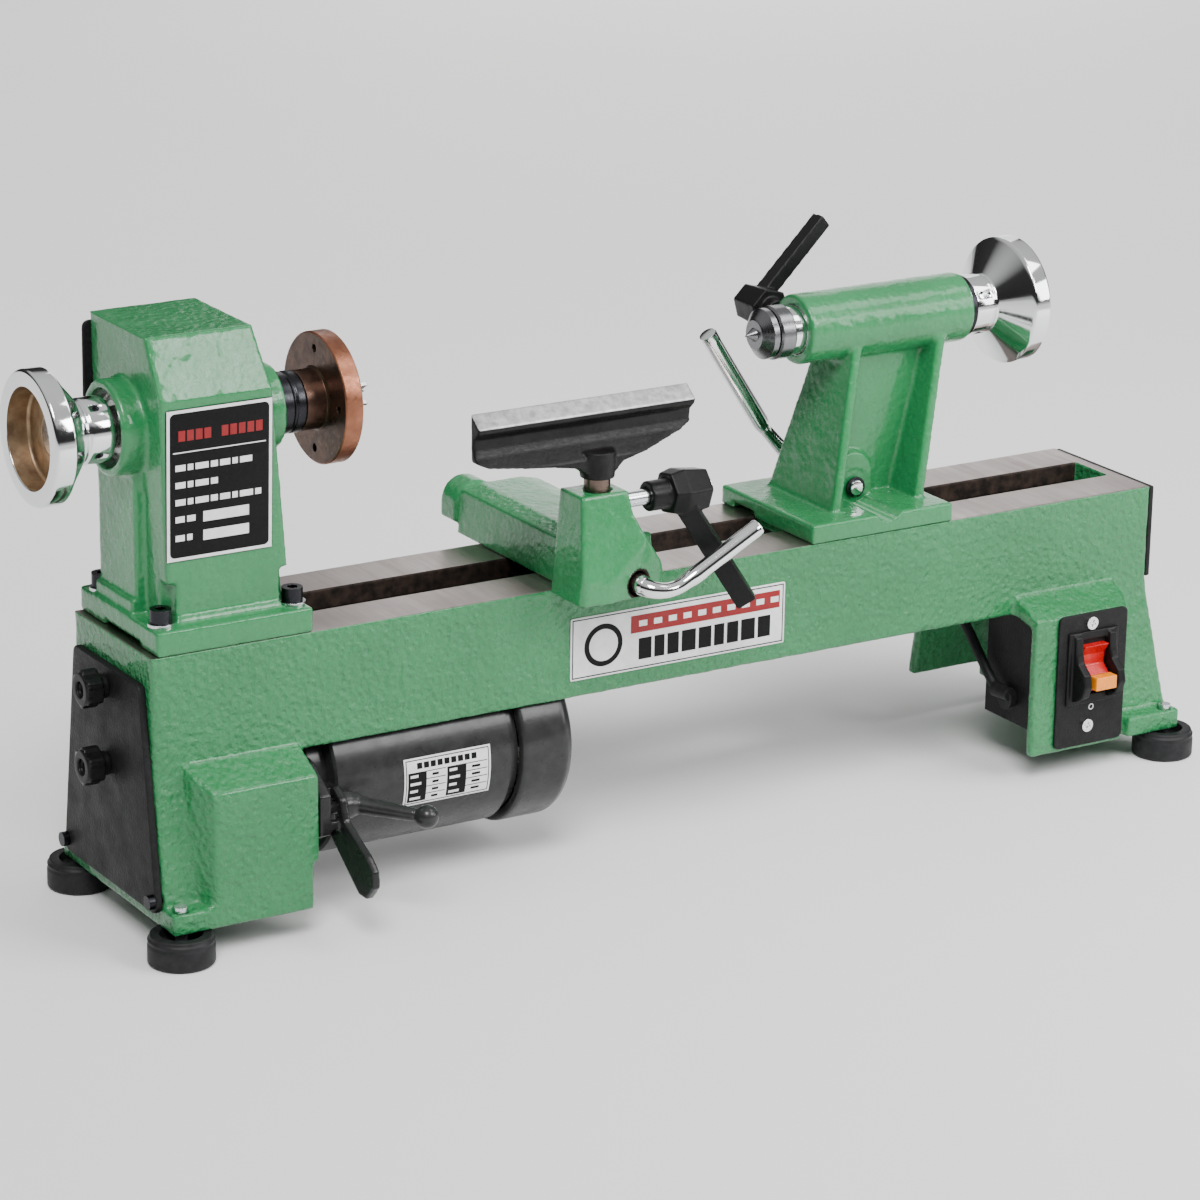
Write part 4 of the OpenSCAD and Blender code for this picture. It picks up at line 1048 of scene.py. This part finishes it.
def build_badge():
    lo, hi = corners("bed_badge")
    place = plane((lo.x, hi.y - 0.02, lo.z), (1, 0, 0), (0, 0, 1))
    w, h = hi.x - lo.x, hi.z - lo.z
    bm = bmesh.new()
    add_prism(bm, rounded(rect(0, 0, w, h), 1.5), place, 0.6, 0.15)
    finish_piece("bed_badge_body", bm, "base", WHITE_INK, ("bed_badge",), 30)
    edge = [rect(1.2, 1.2, w - 1.2, 1.9), rect(1.2, h - 1.9, w - 1.2, h - 1.2),
            rect(1.2, 1.9, 1.9, h - 1.9), rect(w - 1.9, 1.9, w - 1.2, h - 1.9)]
    # plain blocks in place of lettering
    bars = []
    u = 50
    for k in range(9):
        wide = (9.5, 7.5, 8.5, 10.5)[k % 4]
        bars.append(rect(u, 6.5, u + wide, 20.5))
        u += wide + 2.2
    banner = [rect(44, 24.5, w - 4, 36)]
    dashes = [rect(50 + 11 * k, 28.4, 56 + 11 * k, 32.2) for k in range(10)]

    def disc(r):
        return [(24 + r * math.cos(t), h / 2 + r * math.sin(t))
                for t in (2 * math.pi * k / 40 for k in range(40))]

    marks("bed_badge_print", place, 0.6, "base",
          [(BLACK_INK, edge + bars + [disc(14)], 0), (RED_INK, banner, 0), (WHITE_INK, dashes, 0.08),
           (WHITE_INK, [disc(10.5)], 0.08)], 0.1)


build_badge()


# ---- floor and light ----

def area(name, at, to, size, power, size_y=None):
    data = bpy.data.lights.new(name, "AREA")
    data.shape = "RECTANGLE"
    data.size, data.size_y = size, size_y or size
    data.energy = power
    o = bpy.data.objects.new(name, data)
    bpy.context.scene.collection.objects.link(o)
    o.location = at
    o.rotation_euler = (Vector(to) - Vector(at)).to_track_quat("-Z", "Y").to_euler()


def sun(name, toward, power, spread):
    data = bpy.data.lights.new(name, "SUN")
    data.energy, data.angle = power, math.radians(spread)
    o = bpy.data.objects.new(name, data)
    bpy.context.scene.collection.objects.link(o)
    o.rotation_euler = (-Vector(toward)).to_track_quat("-Z", "Y").to_euler()


def build_sky():
    """Bright above, with a darker band low round the room so that plating has contrast."""
    world = bpy.data.worlds.new("studio")
    bpy.context.scene.world = world
    world.use_nodes = True
    t = world.node_tree
    where = t.nodes.new("ShaderNodeTexCoord")
    split = t.nodes.new("ShaderNodeSeparateXYZ")
    ramp = t.nodes.new("ShaderNodeValToRGB")
    t.links.new(where.outputs["Generated"], split.inputs[0])
    t.links.new(split.outputs["Z"], ramp.inputs["Fac"])
    stops = ((0.0, 0.6), (0.02, 0.5), (0.05, 0.03), (0.4, 0.05), (0.55, 0.7), (1.0, 0.9))
    while len(ramp.color_ramp.elements) < len(stops):
        ramp.color_ramp.elements.new(0.5)
    for e, (at, v) in zip(ramp.color_ramp.elements, stops):
        e.position = at
        e.color = (v, v, v, 1)
    bg = t.nodes["Background"]
    t.links.new(ramp.outputs["Color"], bg.inputs["Color"])
    bg.inputs["Strength"].default_value = 0.8


def build_stage():
    bm = bmesh.new()
    bmesh.ops.create_grid(bm, x_segments=8, y_segments=8, size=14)
    mesh = bpy.data.meshes.new("floor")
    bm.to_mesh(mesh)
    bm.free()
    floor = bpy.data.objects.new("floor", mesh)
    bpy.context.scene.collection.objects.link(floor)
    p = Paint("floor", (0.86, 0.86, 0.855), 0.7, spec=0.2)
    p.colour(p.blend(p.span(p.noise(1.2, 2), 0.3, 0.7), (0.85, 0.85, 0.845), (0.88, 0.88, 0.875)))
    mesh.materials.append(p.m)
    build_sky()
    sun("key", (-0.5, -0.8, 1.2), 2.9, 24)
    area("fill", (1.6, -1.3, 0.9), (0.05, 0, 0.15), 0.9, 16)
    area("top", (1.2, -0.7, 2.2), (-0.1, 0, 0.3), 0.9, 14)
    area("slope", (0.8, -1.62, 1.34), (-0.3, 0, 0.35), 0.7, 22)
    area("back", (1.9, 2.7, 1.25), (0, 0, 0.2), 1.2, 16, 2.6)


build_stage()
